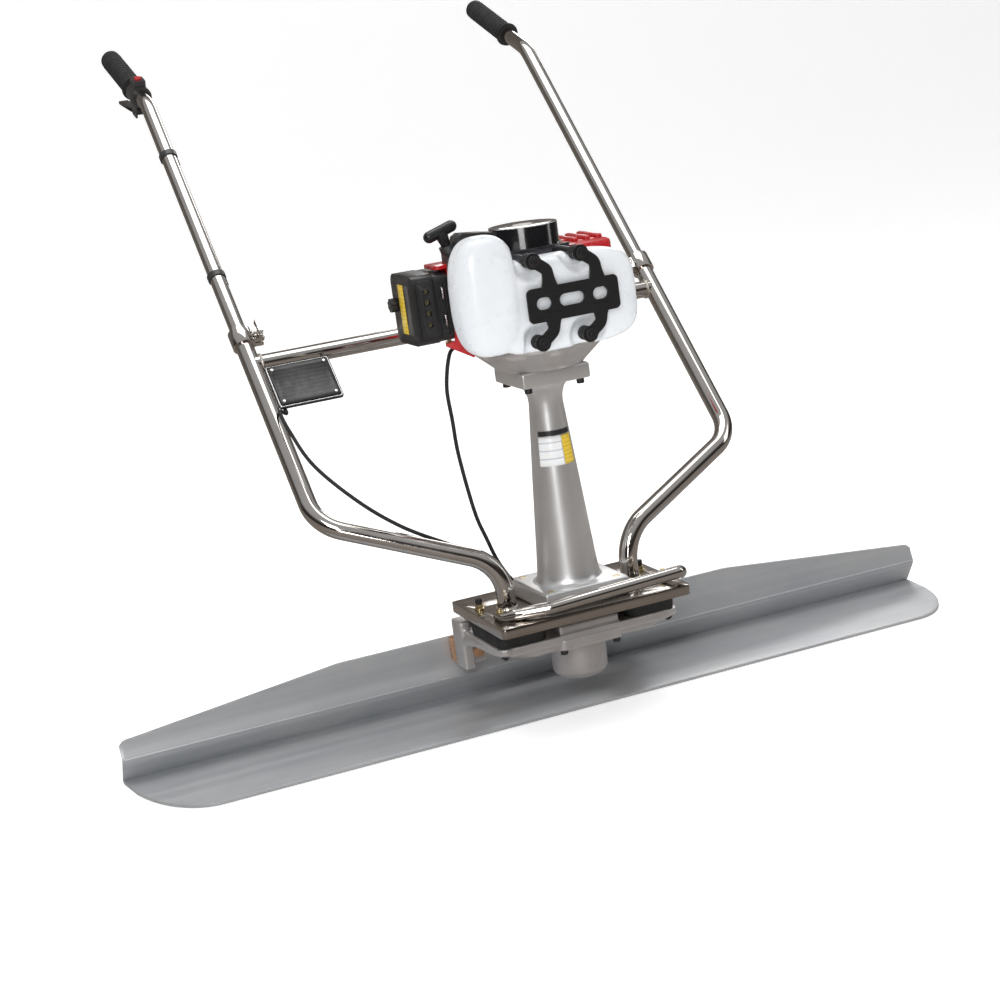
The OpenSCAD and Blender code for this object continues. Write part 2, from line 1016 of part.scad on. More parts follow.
module fuel_tank() {
    color([0.94, 0.94, 0.93, 0.9])
        difference() {
            union() {
                soft_box(-140, -60, -128, -52, 500, tank_top, 30);
                soft_box(-90, 97, -125, -62, 493, 611, 26);
                on_neck(0)
                    cylinder(h = 40, r = 14);
            }
            soft_box(-137, -63, -125, -55, 503, tank_top - 3, 27);
            soft_box(-93, 94, -122, -65, 496, 608, 23);
            on_neck(-6)
                cylinder(h = 60, r = 11);
            for (x = post_x, z = post_z)
                ycyl(x, z, -140, -50, 13);
        }
    color([0.94, 0.94, 0.93, 0.9])
        for (x = post_x, z = post_z)
            intersection() {
                soft_box(-90, 97, -125, -62, 493, 611, 26);
                difference() {
                    ycyl(x, z, -125, -62, 15.5);
                    ycyl(x, z, -126, -50, 12.9);
                }
            }
}

module fuel_cap() {
    color([0.07, 0.07, 0.08])
        on_neck(0)
            difference() {
                translate([0, 0, 28])
                    cylinder(h = 16, r = 19);
                translate([0, 0, 26])
                    cylinder(h = 14.1, r = 14.06);
                for (a = [0 : 30 : 330])
                    rotate([0, 0, a])
                        translate([20.5, 0, 20])
                            cylinder(h = 30, r = 2.5);
            }
}

module tank_stand() {
    color([0.2, 0.2, 0.21]) {
        difference() {
            box(-55, 36, -58, -54, 497, 616.5);
            ycyl(0, 560, -60, -50, 22);
            for (s = lug_s)
                ycyl(s * 20, 532, -60, -45, 2.8);
        }
        for (x = post_x, z = post_z)
            difference() {
                ycyl(x, z, -112, -56, 6);
                ycyl(x, z, -113, -70, 2.55);
            }
    }
}

module stand_bolts() {
    color([0.2, 0.2, 0.21])
        for (s = lug_s) {
            ycyl(s * 20, 532, -60, -58, 4.2);
            ycyl(s * 20, 532, -58.01, -48, 2.5);
        }
}

module bush_bodies() {
    color([0.06, 0.06, 0.06])
        for (x = post_x, z = post_z)
            difference() {
                union() {
                    ycyl(x, z, -129, -112.01, 9);
                    ycyl(x, z, -136, -132.01, 7);
                }
                ycyl(x, z, -140, -110, 2.6);
            }
}

// outline of one arm from the plate edge at e to the post at z, leaning by v
module arm_shape(x, z, e, v) {
    polygon([[x + 8, e], [x + 30, e], [x + 27, e + 16 * v], [x + 8, z + 4 * v],
        [x - 5, z - 6 * v], [x + 4, e + 18 * v]]);
    translate([x, z])
        circle(10.5);
}

module tank_bracket() {
    color([0.04, 0.04, 0.045])
        translate([0, -129.01, 0])
            rotate([90, 0, 0])
                linear_extrude(3)
                    difference() {
                        union() {
                            rrect(-61, 63, 534, 577, 6);
                            for (x = post_x) {
                                arm_shape(x, post_z[0], 536, -1);
                                arm_shape(x, post_z[1], 575, 1);
                            }
                        }
                        for (x = post_x, z = post_z)
                            translate([x, z])
                                circle(2.8);
                        for (x = [[-49, -29], [-18, 15], [27, 47]])
                            rrect(x[0], x[1], 549.5, 564.5, 7.4);
                    }
}

module bracket_bolts() {
    color([0.25, 0.25, 0.26])
        for (x = post_x, z = post_z) {
            ycyl(x, z, -136, -75, 2.5);
            difference() {
                ycyl(x, z, -140, -136, 4.6);
                translate([x, -138, z])
                    rotate([90, 0, 0])
                        cylinder(h = 5, r = 2.3, $fn = 6);
            }
        }
}

// handle

function leg(s) = [[s * foot_x, foot_y, plate_z], [s * foot_x, foot_y, 212],
    up_pt(s, 0), up_pt(s, tube_end_t)];

module handle_frame() {
    color([0.78, 0.78, 0.78])
        difference() {
            union() {
                for (s = lug_s) {
                    bent_rod(leg(s), 58, tube_r, 0);
                    zcyl(s * foot_x, foot_y, plate_z, plate_z + 4, tube_r + 3.5);
                }
                xcyl(bend_y + bar_t, bend_z + bar_t, -grip_half, grip_half, tube_r - 0.5);
            }
            for (s = lug_s) {
                bent_rod(leg(s), 58, inner_r, 1);
                zcyl(s * 150, bend_y + bar_t, bend_z + bar_t - 20, bend_z + bar_t, 2.5);
            }
            xcyl(bend_y + bar_t, bend_z + bar_t, 20 - grip_half, grip_half - 20, tube_r - 2);
        }
}

module collar_bodies() {
    color([0.76, 0.76, 0.77])
        for (s = lug_s)
            on_tube(s, collar_t)
                difference() {
                    union() {
                        translate([0, 0, -13])
                            cylinder(h = 26, r = tube_r + 3.5);
                        translate([tube_r, -9, -9])
                            cube([17, 18, 18]);
                    }
                    translate([0, 0, -15])
                        cylinder(h = 30, r = tube_r + 0.02);
                    translate([10, -1.2, -20])
                        cube([40, 2.4, 40]);
                    translate([tube_r + 10, 20, 0])
                        rotate([90, 0, 0])
                            cylinder(h = 40, r = 3.1);
                }
}

module collar_bolt(s) {
    color([0.82, 0.66, 0.36])
        on_tube(s, collar_t)
            translate([tube_r + 10, 0, 0])
                rotate([90, 0, 0]) {
                    translate([0, 0, -13])
                        cylinder(h = 28, r = 3);
                    translate([0, 0, 9.1])
                        cylinder(h = 6, r = 7);
                    translate([-2.2, -14, 14])
                        cube([4.4, 28, 10]);
                }
}

module collar_nuts() {
    color([0.82, 0.66, 0.36])
        for (s = lug_s)
            on_tube(s, collar_t)
                translate([tube_r + 10, 9.05, 0])
                    rotate([-90, 0, 0])
                        difference() {
                            cylinder(h = 5, r = 6, $fn = 6);
                            translate([0, 0, -1])
                                cylinder(h = 8, r = 3.05);
                        }
}

module upper_handle(s) {
    hi = up_pt(s, upper_hi_t);
    color([0.78, 0.78, 0.78])
        tube_run([up_pt(s, upper_lo_t), hi, hi + unit(grip_dir) * (grip_start + grip_len)],
            60, upper_r, upper_r - 2);
}

module hand_grip(s) {
    color([0.06, 0.06, 0.06])
        on_grip(s, grip_start)
            difference() {
                union() {
                    cylinder(h = grip_len + 4, r = 14.5);
                    cylinder(h = 4, r = 18);
                    for (i = [0 : 9])
                        translate([0, 0, 12 + i * (grip_len - 16) / 9.5])
                            cylinder(h = 5, r = 15.6);
                }
                translate([0, 0, -1])
                    cylinder(h = grip_len + 1.1, r = upper_r + 0.01);
            }
}

module mount_block() {
    color([0.08, 0.08, 0.09])
        on_grip(-1, 46)
            difference() {
                union() {
                    translate([0, 0, -13])
                        cylinder(h = 26, r = 16);
                    translate([-10, 6, -11])
                        cube([20, 26, 20]);
                    translate([-9, -24, -10])
                        cube([18, 18, 20]);
                }
                translate([0, 0, -20])
                    cylinder(h = 40, r = upper_r + 0.01);
                translate([-7.3, 16.5, -12])
                    cube([14.6, 20, 30]);
                translate([-20, 25, 0])
                    rotate([0, 90, 0])
                        cylinder(h = 40, r = 2.5);
                translate([0, -18, 0])
                    rotate([90, 0, 0])
                        cylinder(h = 10, r = 5.3);
            }
}

module lever_pin() {
    color([0.6, 0.6, 0.62])
        on_grip(-1, 46)
            translate([-11, 25, 0])
                rotate([0, 90, 0])
                    cylinder(h = 22, r = 2.45);
}

module throttle_lever() {
    color([0.09, 0.09, 0.1])
        on_grip(-1, 46)
            difference() {
                union() {
                    translate([-7, 25, 0])
                        rotate([0, 90, 0])
                            cylinder(h = 14, r = 6);
                    translate([-7, 0, 0])
                        rotate([90, 0, 90])
                            linear_extrude(14)
                                polygon([[20, 1], [44, 96], [46, 104], [50, 103], [49, 94], [31, 0],
                                    [30, -3], [25, -6]]);
                }
                translate([-10, 25, 0])
                    rotate([0, 90, 0])
                        cylinder(h = 20, r = 2.5);
            }
}

module stop_button() {
    color([0.75, 0.05, 0.05])
        on_grip(-1, 46)
            translate([0, -20.2, 0])
                rotate([90, 0, 0])
                    cylinder(h = 7, r = 5.25);
}

cable_dx = 13;
cable_n = 15.5;

function grip_pt(d, down) =
    up_pt(-1, upper_hi_t) + unit(grip_dir) * d + down * [0, 0.3412, -0.94];
function beside(t) = up_pt(-1, t) + [cable_dx, cable_n * sqrt(0.5), -cable_n * sqrt(0.5)];

module throttle_cable() {
    color([0.05, 0.05, 0.05])
        ball_rod([
            [-98, 31, 499.5], [-131, 3, 455], [-126, 8, 362], [-112, 17, 284], [-87, 30, 211],
            [-67, 37, 177], [-64, 46, 179], [-80, 47, 198], [-145, 45, 243], [-200, 57, 276],
            [-249, 72, 318], [-290, 108, 369], [-301, 196, 432], [-285, 218, 423],
            [-283, 240, 431], beside(180), beside(522),
            grip_pt(31, 21)], 2.5);
}

module cable_clips() {
    color([0.07, 0.07, 0.07])
        for (t = [305, 470])
            on_tube(-1, t)
                difference() {
                    union() {
                        translate([0, 0, -4])
                            cylinder(h = 8, r = 13);
                        translate([cable_dx, cable_n, -4])
                            cylinder(h = 8, r = 4.6);
                        rotate([0, 0, atan2(cable_n, cable_dx)])
                            translate([12, -2.5, -4])
                                cube([5, 5, 8]);
                    }
                    translate([0, 0, -10])
                        cylinder(h = 20, r = upper_r + 0.01);
                    translate([cable_dx, cable_n, -10])
                        cylinder(h = 20, r = 2.6);
                }
}

module on_plate() {
    c = [-246, bend_y + bar_t, bend_z + bar_t];
    frame_at(c, [1, 0, 0], [0, sqrt(0.5), sqrt(0.5)], [0, -sqrt(0.5), sqrt(0.5)])
        children();
}

module plate_face() {
    color([0.05, 0.05, 0.055])
        on_plate()
            difference() {
                rplate(-42, 42, -78, -14, 3, 5, 4);
                for (x = lug_s, y = [-73, -19])
                    zcyl(x * 37, y, 0, 8, 1.8);
            }
}

module plate_frame() {
    color([0.75, 0.75, 0.75])
        on_plate()
            difference() {
                union() {
                    rplate(-46, 46, -82, -10, 0.5, 3, 4);
                    box(-20, 20, -14, -6, 0.5, 3);
                }
                rotate([0, 90, 0])
                    translate([0, 0, -60])
                        cylinder(h = 120, r = tube_r - 0.48);
                for (x = lug_s, y = [-73, -19])
                    zcyl(x * 37, y, -1, 8, 1.8);
            }
}

module plate_rivets() {
    color([0.8, 0.8, 0.8])
        on_plate()
            for (x = lug_s, y = [-73, -19]) {
                zcyl(x * 37, y, 0.5, 5, 1.75);
                zcyl(x * 37, y, 5, 6.2, 3);
            }
}

// pieces that share one node

module lower_screws() {
    housing_bolts();
    isolator_bolts();
}

module eccentric_shaft() {
    eccentric_body();
    coupling_lower();
}

module blade_bolts() {
    wall_bolts();
    wall_nuts();
}

module drive_shaft() {
    shaft_body();
    coupling_upper();
}

module shaft_bearings() {
    column_races();
    crank_races();
}

module plate_fasteners() {
    foot_bolts();
    foot_nuts();
    plate_studs();
}

module engine_screws() {
    flange_bolts();
    stand_bolts();
    bracket_bolts();
}

module connecting_rod() {
    rod_body();
    crank_pin();
    wrist_pin();
}

module piston() {
    piston_body();
    piston_rings();
}

module spark_plug() {
    plug_body();
    plug_cap();
}

module flywheel() {
    fan_wheel();
    starter_cup();
    crank_nut();
}

module air_cleaner_base() {
    cleaner_plate();
    intake_block();
}

module starter_housing() {
    starter_shell();
    starter_disc();
}

module starter_pulley() {
    pulley_body();
    rope_coil();
}

module rubber_bushes() {
    bush_bodies();
    stud_caps();
}

module handle_collars() {
    collar_bodies();
    collar_nuts();
    collar_bolt(-1);
    collar_bolt(1);
}

module upper_handles() {
    upper_handle(-1);
    upper_handle(1);
}

module hand_grips() {
    hand_grip(-1);
    hand_grip(1);
}

module throttle_mount() {
    mount_block();
    lever_pin();
    cable_clips();
}

module name_plate() {
    plate_face();
    plate_frame();
    plate_rivets();
}

screed_blade();
spacer_blocks();
vibrator_frame();
bearing_housing();
lower_screws();
bearing_cover();
eccentric_shaft();
eccentric_bearings();
rubber_pads();
blade_bolts();
coupling_spider();
drive_shaft();
shaft_bearings();
clutch_drum();
base_plate();
plate_fasteners();
rubber_bushes();
front_bar();
column();
engine_screws();
clutch_housing();
clutch_shoes();
crankcase();
crankshaft();
connecting_rod();
piston();
cylinder_barrel();
spark_plug();
flywheel();
ignition_coil();
engine_shroud();
carburettor();
throttle_arm();
choke_lever();
primer_bulb();
air_cleaner_base();
air_filter();
air_cleaner_cover();
air_cleaner_knob();
muffler();
muffler_cover();
starter_housing();
starter_pulley();
rope_guide();
starter_rope();
starter_grip();
fuel_tank();
fuel_cap();
tank_stand();
tank_bracket();
handle_frame();
handle_collars();
upper_handles();
hand_grips();
throttle_mount();
throttle_lever();
stop_button();
throttle_cable();
name_plate();
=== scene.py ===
"""Looks of the vibrating power screed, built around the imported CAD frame."""

import json
import math

import bmesh
import bpy
from mathutils import Matrix, Vector


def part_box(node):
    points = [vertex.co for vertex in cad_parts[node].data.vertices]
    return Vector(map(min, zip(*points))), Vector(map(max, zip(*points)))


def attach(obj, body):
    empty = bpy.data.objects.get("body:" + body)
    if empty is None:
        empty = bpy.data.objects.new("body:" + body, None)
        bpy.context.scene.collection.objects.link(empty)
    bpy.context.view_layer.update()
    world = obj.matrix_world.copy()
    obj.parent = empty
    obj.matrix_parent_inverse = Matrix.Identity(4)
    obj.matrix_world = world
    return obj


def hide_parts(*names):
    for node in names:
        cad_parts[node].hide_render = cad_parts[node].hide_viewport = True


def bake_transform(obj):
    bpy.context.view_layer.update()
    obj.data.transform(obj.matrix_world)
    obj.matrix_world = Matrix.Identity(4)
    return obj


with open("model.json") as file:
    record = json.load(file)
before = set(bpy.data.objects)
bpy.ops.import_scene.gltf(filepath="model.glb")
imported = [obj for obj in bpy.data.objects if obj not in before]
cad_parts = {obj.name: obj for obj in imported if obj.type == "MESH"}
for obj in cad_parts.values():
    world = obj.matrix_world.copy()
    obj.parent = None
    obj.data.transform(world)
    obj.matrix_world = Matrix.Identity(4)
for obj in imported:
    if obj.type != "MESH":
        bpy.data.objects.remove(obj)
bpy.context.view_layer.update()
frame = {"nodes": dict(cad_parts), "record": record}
MM = 0.001


def mm(x, y, z):
    """A vector given in millimetres."""
    return Vector((x, y, z)) * MM


# ---------------------------------------- frame values

# radius of the lower, welded handle tubes and of the upper tubes inside them
TUBE_R = 12.5 * MM
UPPER_R = 11 * MM
# right-hand tube: where it leaves the plate, and its lower bend
FOOT = mm(90, 5, 150)
BEND = mm(305, 89.5, 295)
# heights above that bend: cross tube, end of the lower tube, ends of the upper tube
BAR_T = 192 * MM
LOWER_END_T = 236 * MM
UPPER_LO_T = 100 * MM
UPPER_HI_T = 545 * MM
# the grips: direction, distance from the upper bend, length
GRIP_DIR = Vector((0, 0.94, 0.3412)).normalized()
GRIP_START = 72 * MM
GRIP_LEN = 132 * MM
# (x, z) of the four posts that carry the tank's guard
POSTS = [(x * MM, z * MM) for x in (-46.5, 17.5) for z in (509, 610)]
# the tank's filler mouth
CAP_MOUTH = mm(-104, -74, 600)
CAP_AXIS = Vector((0, math.sin(math.radians(75)), math.cos(math.radians(75))))
# lower and upper face of the vibrator's deck, in millimetres
DECK_LO, DECK_HI = 101, 113
# (radius, height) in millimetres at both ends of the column's straight taper
TRUNK_LOW, TRUNK_HIGH = (38.5, 209), (23.4, 398)


def up_pt(side, t):
    """A point on the axis of an upright, t above its lower bend."""
    return Vector((side * BEND.x, BEND.y + t, BEND.z + t))


# ---------------------------------------- materials


class Nodes:
    """Short names for building one node material."""

    def __init__(self, name):
        self.mat = bpy.data.materials.new(name)
        self.mat.use_nodes = True
        self.tree = self.mat.node_tree
        self.bsdf = self.tree.nodes["Principled BSDF"]
        self.coord = self.add("ShaderNodeTexCoord").outputs["Object"]

    def add(self, kind, **inputs):
        node = self.tree.nodes.new(kind)
        for key, value in inputs.items():
            self.put(node.inputs[key.replace("_", " ")], value)
        return node

    def put(self, socket, value):
        if isinstance(value, bpy.types.NodeSocket):
            self.tree.links.new(value, socket)
        else:
            socket.default_value = value

    def set(self, **inputs):
        for key, value in inputs.items():
            self.put(self.bsdf.inputs[key.replace("_", " ")], value)

    def noise(self, scale, detail, stretch=(1, 1, 1), rough=0.5):
        spread = self.add("ShaderNodeMapping", Vector=self.coord, Scale=stretch)
        return self.add("ShaderNodeTexNoise", Vector=spread.outputs[0], Scale=scale,
                        Detail=detail, Roughness=rough).outputs["Fac"]

    def span(self, value, low, high, start=0.3, stop=0.7):
        """Maps start..stop of a value onto low..high; most of a noise lies in the default."""
        return self.add("ShaderNodeMapRange", Value=value, From_Min=start, From_Max=stop,
                        To_Min=low, To_Max=high).outputs[0]

    def mix(self, fac, a, b):
        node = self.tree.nodes.new("ShaderNodeMix")
        node.data_type = "RGBA"
        self.put(node.inputs[0], fac)
        self.put(node.inputs[6], a)
        self.put(node.inputs[7], b)
        return node.outputs[2]

    def bump(self, height, strength, distance):
        node = self.add("ShaderNodeBump", Height=height, Strength=strength, Distance=distance)
        previous = self.bsdf.inputs["Normal"].links
        if previous:
            self.tree.links.new(previous[0].from_socket, node.inputs["Normal"])
        self.tree.links.new(node.outputs[0], self.bsdf.inputs["Normal"])

    def edges(self, low=0.5, high=0.56):
        """1 along worn outer edges, 0 elsewhere."""
        geo = self.add("ShaderNodeNewGeometry")
        return self.span(geo.outputs["Pointiness"], 0.0, 1.0, low, high)


def rgb(r, g, b):
    return (r, g, b, 1.0)


def shade(colour, k):
    return rgb(*(min(1.0, c * k) for c in colour[:3]))


def metal(name, colour, rough, spread=0.08, grain=600, depth=0.02, stretch=(1, 1, 1), cloud=12,
          aniso=0.0):
    """Bare metal: cloudy tone, roughness rough +- spread, and a grain depth mm deep."""
    n = Nodes(name)
    tone = n.span(n.noise(cloud, 4), 0.0, 1.0)
    n.set(Metallic=1.0, Base_Color=n.mix(tone, shade(colour, 0.9), shade(colour, 1.06)))
    n.set(Roughness=n.span(n.noise(cloud * 3, 5, stretch), rough - spread, rough + spread))
    n.set(Anisotropic=aniso)
    n.bump(n.noise(grain, 3, stretch), 0.35, depth * MM)
    return n.mat


def cast_metal(name, colour, rough=0.48):
    """Sand-cast metal with a pebbly skin and brighter worn edges."""
    n = Nodes(name)
    tone = n.span(n.noise(25, 6), 0.0, 1.0)
    base = n.mix(tone, shade(colour, 0.86), shade(colour, 1.05))
    n.set(Metallic=0.8, Base_Color=n.mix(n.edges(), base, shade(colour, 1.3)))
    n.set(Roughness=n.span(n.noise(90, 4), rough - 0.1, rough + 0.12))
    n.bump(n.noise(260, 2), 0.4, 0.12 * MM)
    return n.mat


def satin_paint(name, colour, rough):
    """Silver paint with a faint orange peel."""
    n = Nodes(name)
    tone = n.span(n.noise(14, 4), 0.0, 1.0)
    n.set(Metallic=0.85, Base_Color=n.mix(tone, shade(colour, 0.94), shade(colour, 1.04)))
    n.set(Roughness=n.span(n.noise(35, 3), rough - 0.03, rough + 0.05))
    n.bump(n.noise(30, 2), 0.12, 0.2 * MM)
    return n.mat


def plastic(name, colour, rough, grain=900, depth=0.03, coat=0.0, worn=0.15):
    """Moulded plastic; worn is how much the edges are rubbed pale."""
    n = Nodes(name)
    tone = n.span(n.noise(18, 5), 0.0, 1.0)
    base = n.mix(tone, shade(colour, 0.88), shade(colour, 1.08))
    edge = n.mix(worn, rgb(*colour[:3]), rgb(0.6, 0.6, 0.6))
    n.set(Base_Color=n.mix(n.edges(0.53, 0.6), base, edge))
    n.set(Roughness=n.span(n.noise(140, 4), rough - 0.06, rough + 0.08), Coat_Weight=coat)
    n.set(Coat_Roughness=0.08)
    n.bump(n.noise(grain, 3), 0.4, depth * MM)
    return n.mat


def tank_plastic():
    """Blown, slightly translucent white plastic."""
    n = Nodes("tank_white")
    tone = n.span(n.noise(9, 4), 0.0, 1.0)
    n.set(Base_Color=n.mix(tone, rgb(0.76, 0.79, 0.82), rgb(0.86, 0.88, 0.90)))
    n.set(Subsurface_Weight=0.35, Subsurface_Radius=(0.02, 0.02, 0.018), Subsurface_Scale=0.4)
    n.set(Roughness=n.span(n.noise(60, 5), 0.24, 0.36), Coat_Weight=0.15)
    n.bump(n.noise(16, 2), 0.08, 0.4 * MM)
    return n.mat


def blade_metal():
    """Drawn aluminium with streaks along X."""
    n = Nodes("blade_aluminium")
    streak = n.noise(26, 6, (0.06, 4, 4), 0.6)
    fine = n.noise(160, 4, (0.03, 5, 5), 0.6)
    cloud = n.span(n.noise(7, 6, (1, 2, 2), 0.65), 0.0, 1.0)
    base = n.mix(cloud, rgb(0.44, 0.46, 0.49), rgb(0.54, 0.55, 0.56))
    n.set(Metallic=0.55, Base_Color=n.mix(n.span(streak, 0, 0.35), base, rgb(0.68, 0.68, 0.67)))
    n.set(Roughness=n.span(streak, 0.4, 0.52))
    n.bump(fine, 0.35, 0.06 * MM)
    n.bump(streak, 0.25, 0.15 * MM)
    return n.mat


def chrome(name, colour):
    """Polished tube with patches of haze."""
    n = Nodes(name)
    haze = n.noise(30, 6)
    n.set(Metallic=1.0, Base_Color=n.mix(n.span(haze, 0, 1), shade(colour, 0.92), rgb(*colour)))
    n.set(Roughness=n.span(haze, 0.025, 0.11))
    n.bump(n.noise(14, 2), 0.08, 0.3 * MM)
    return n.mat


def rubber(name, colour, rough=0.75):
    """Matt rubber with a little cement dust."""
    n = Nodes(name)
    dust = n.span(n.noise(40, 6, rough=0.7), 0, 0.1)
    n.set(Base_Color=n.mix(dust, rgb(*colour), rgb(0.16, 0.155, 0.15)))
    n.set(Roughness=n.span(n.noise(200, 4), rough - 0.1, rough + 0.1))
    n.bump(n.noise(700, 4), 0.5, 0.06 * MM)
    return n.mat


def foam():
    """Open-celled filter foam."""
    n = Nodes("filter_foam")
    cells = n.add("ShaderNodeTexVoronoi", Vector=n.coord, Scale=900.0)
    n.set(Base_Color=n.mix(cells.outputs["Distance"], rgb(0.35, 0.3, 0.16), rgb(0.8, 0.72, 0.45)))
    n.set(Roughness=0.9)
    n.bump(cells.outputs["Distance"], 0.8, 0.6 * MM)
    return n.mat


def braid():
    """Black braided cord."""
    n = Nodes("rope_braid")
    wave = n.add("ShaderNodeTexWave", Vector=n.coord, Scale=260.0, Distortion=2.0)
    n.set(Base_Color=n.mix(wave.outputs["Fac"], rgb(0.03, 0.03, 0.03), rgb(0.12, 0.12, 0.12)))
    n.set(Roughness=0.8)
    n.bump(wave.outputs["Fac"], 0.6, 0.2 * MM)
    return n.mat


def label(name, colour, line, pitch, coat=0.3):
    """A printed sheet with plain rules across it and no characters."""
    n = Nodes(name)
    wave = n.add("ShaderNodeTexWave", Vector=n.coord, Scale=pitch)
    wave.bands_direction = "Z"
    rule = n.span(wave.outputs["Fac"], 0.0, 1.0, 0.9, 0.95)
    n.set(Base_Color=n.mix(rule, rgb(*colour), rgb(*line)))
    n.set(Roughness=n.span(n.noise(120, 3), 0.25, 0.4), Coat_Weight=coat)
    return n.mat


MATS = {
    "alu_sheet": blade_metal(),
    "cast_alu": cast_metal("cast_aluminium", (0.60, 0.58, 0.57)),
    "cast_iron": cast_metal("muffler_steel", (0.28, 0.25, 0.23), 0.55),
    "painted_silver": satin_paint("column_silver", (0.80, 0.80, 0.80), 0.36),
    "chrome_tube": chrome("chrome_tube", (0.60, 0.57, 0.54)),
    "stainless": metal("polished_plate", (0.46, 0.42, 0.385), 0.18, 0.07, grain=300, depth=0.03,
                       stretch=(0.1, 3, 3), cloud=10, aniso=0.4),
    "yellow_zinc": metal("yellow_zinc", (0.82, 0.68, 0.38), 0.28, 0.06, grain=500, cloud=80),
    "copper_zinc": metal("copper_zinc", (0.85, 0.50, 0.30), 0.3, grain=500, depth=0.03, cloud=90),
    "dark_steel": metal("black_steel", (0.10, 0.10, 0.11), 0.4, 0.1, grain=700, depth=0.03,
                        cloud=60),
    "machined_steel": metal("machined_steel", (0.58, 0.58, 0.6), 0.25, grain=200,
                            stretch=(1, 1, 12), cloud=30),
    "rubber_black": rubber("rubber_black", (0.010, 0.010, 0.010)),
    "spider_red": rubber("spider_red", (0.45, 0.04, 0.03), 0.6),
    "plastic_black": plastic("plastic_black", (0.011, 0.011, 0.012), 0.34, grain=700, depth=0.06,
                             coat=0.15, worn=0.04),
    "plastic_gloss_black": plastic("gloss_black", (0.010, 0.010, 0.012), 0.14, depth=0.01,
                                   coat=0.6, worn=0.05),
    "plastic_red": plastic("plastic_red", (0.50, 0.010, 0.014), 0.3, grain=500, depth=0.05,
                           coat=0.35, worn=0.03),
    "plastic_white": tank_plastic(),
    "ceramic": plastic("plug_ceramic", (0.75, 0.75, 0.72), 0.2, grain=300, depth=0.01, coat=0.5,
                       worn=0.0),
    "foam": foam(),
    "plate_black": label("plate_print", (0.006, 0.006, 0.006), (0.03, 0.03, 0.03), 70, coat=0.0),
}
ROPE = braid()
STICKER = label("sticker_yellow", (0.80, 0.55, 0.04), (0.55, 0.38, 0.03), 60)
WHITE_STICKER = label("sticker_white", (0.85, 0.85, 0.85), (0.55, 0.58, 0.62), 30)
DARK_STICKER = plastic("sticker_black", (0.02, 0.02, 0.02), 0.35)
RIM = metal("plate_rim", (0.78, 0.78, 0.78), 0.22)
# painted reflection: a grey colour for the starter's gloss-black top, standing for the bright
# surroundings mirrored in it
PAINTED_TOP_REFLECTION = plastic("starter_top_painted_reflection", (0.55, 0.52, 0.46), 0.35, grain=400, depth=0.04, coat=0.2,
               worn=0.0)
WELD = metal("weld_bead", (0.6, 0.57, 0.52), 0.32, 0.1, grain=900, depth=0.1)

# ---------------------------------------- mesh helpers


def smooth_by_angle():
    """One shared modifier group: faces smooth, edges sharper than 32 degrees stay sharp."""
    tree = bpy.data.node_groups.new("smooth_by_angle", "GeometryNodeTree")
    tree.interface.new_socket("Geometry", in_out="INPUT", socket_type="NodeSocketGeometry")
    tree.interface.new_socket("Geometry", in_out="OUTPUT", socket_type="NodeSocketGeometry")
    start, stop = tree.nodes.new("NodeGroupInput"), tree.nodes.new("NodeGroupOutput")
    faces = tree.nodes.new("GeometryNodeSetShadeSmooth")
    sharp = tree.nodes.new("GeometryNodeSetShadeSmooth")
    sharp.domain = "EDGE"
    sharp.inputs["Shade Smooth"].default_value = False
    angle = tree.nodes.new("GeometryNodeInputMeshEdgeAngle")
    test = tree.nodes.new("FunctionNodeCompare")
    test.inputs[1].default_value = math.radians(32)
    link = tree.links.new
    link(start.outputs[0], faces.inputs["Geometry"])
    link(faces.outputs[0], sharp.inputs["Geometry"])
    link(angle.outputs["Unsigned Angle"], test.inputs[0])
    link(test.outputs[0], sharp.inputs["Selection"])
    link(sharp.outputs[0], stop.inputs[0])
    return tree


SMOOTH = smooth_by_angle()


def smooth(obj):
    obj.modifiers.new("smooth", "NODES").node_group = SMOOTH


def finish_edges(obj, width, angle=35):
    """Welds split vertices, rounds sharp edges by width mm and shades the rest smooth."""
    weld = obj.modifiers.new("weld", "WELD")
    weld.merge_threshold = 0.002 * MM
    bevel = obj.modifiers.new("bevel", "BEVEL")
    bevel.width = width * MM
    bevel.segments = 2
    bevel.limit_method = "ANGLE"
    bevel.angle_limit = math.radians(angle)
    smooth(obj)


def add_object(name, data):
    obj = bpy.data.objects.new(name, data)
    bpy.context.scene.collection.objects.link(obj)
    return obj


def shade_smooth(mesh):
    for poly in mesh.polygons:
        poly.use_smooth = True


def make(name, verts, faces, material):
    """An object from points, faces and a material, shaded smooth."""
    mesh = bpy.data.meshes.new(name)
    mesh.from_pydata([tuple(v) for v in verts], [], faces)
    mesh.validate()
    mesh.materials.append(material)
    shade_smooth(mesh)
    return add_object(name, mesh)


def from_bmesh(name, bm, material):
    """An object from a bmesh, which is freed."""
    mesh = bpy.data.meshes.new(name)
    bm.to_mesh(mesh)
    bm.free()
    mesh.materials.append(material)
    return add_object(name, mesh)


def face_outwards(mesh):
    bm = bmesh.new()
    bm.from_mesh(mesh)
    bmesh.ops.recalc_face_normals(bm, faces=bm.faces)
    bm.to_mesh(mesh)
    bm.free()


def fillet(points, radius, steps=10):
    """The polyline with each inner corner turned into an arc."""
    out = [points[0]]
    for a, b, c in zip(points, points[1:], points[2:]):
        d1, d2 = (b - a).normalized(), (c - b).normalized()
        turn = d1.angle(d2)
        if turn < 0.01:
            out.append(b)
            continue
        cut = radius * math.tan(turn / 2)
        inward = (d2 - d1 * d1.dot(d2)).normalized()
        centre = b - d1 * cut + inward * radius
        for i in range(steps + 1):
            phi = turn * i / steps
            out.append(centre - inward * radius * math.cos(phi) + d1 * radius * math.sin(phi))
    out.append(points[-1])
    return out


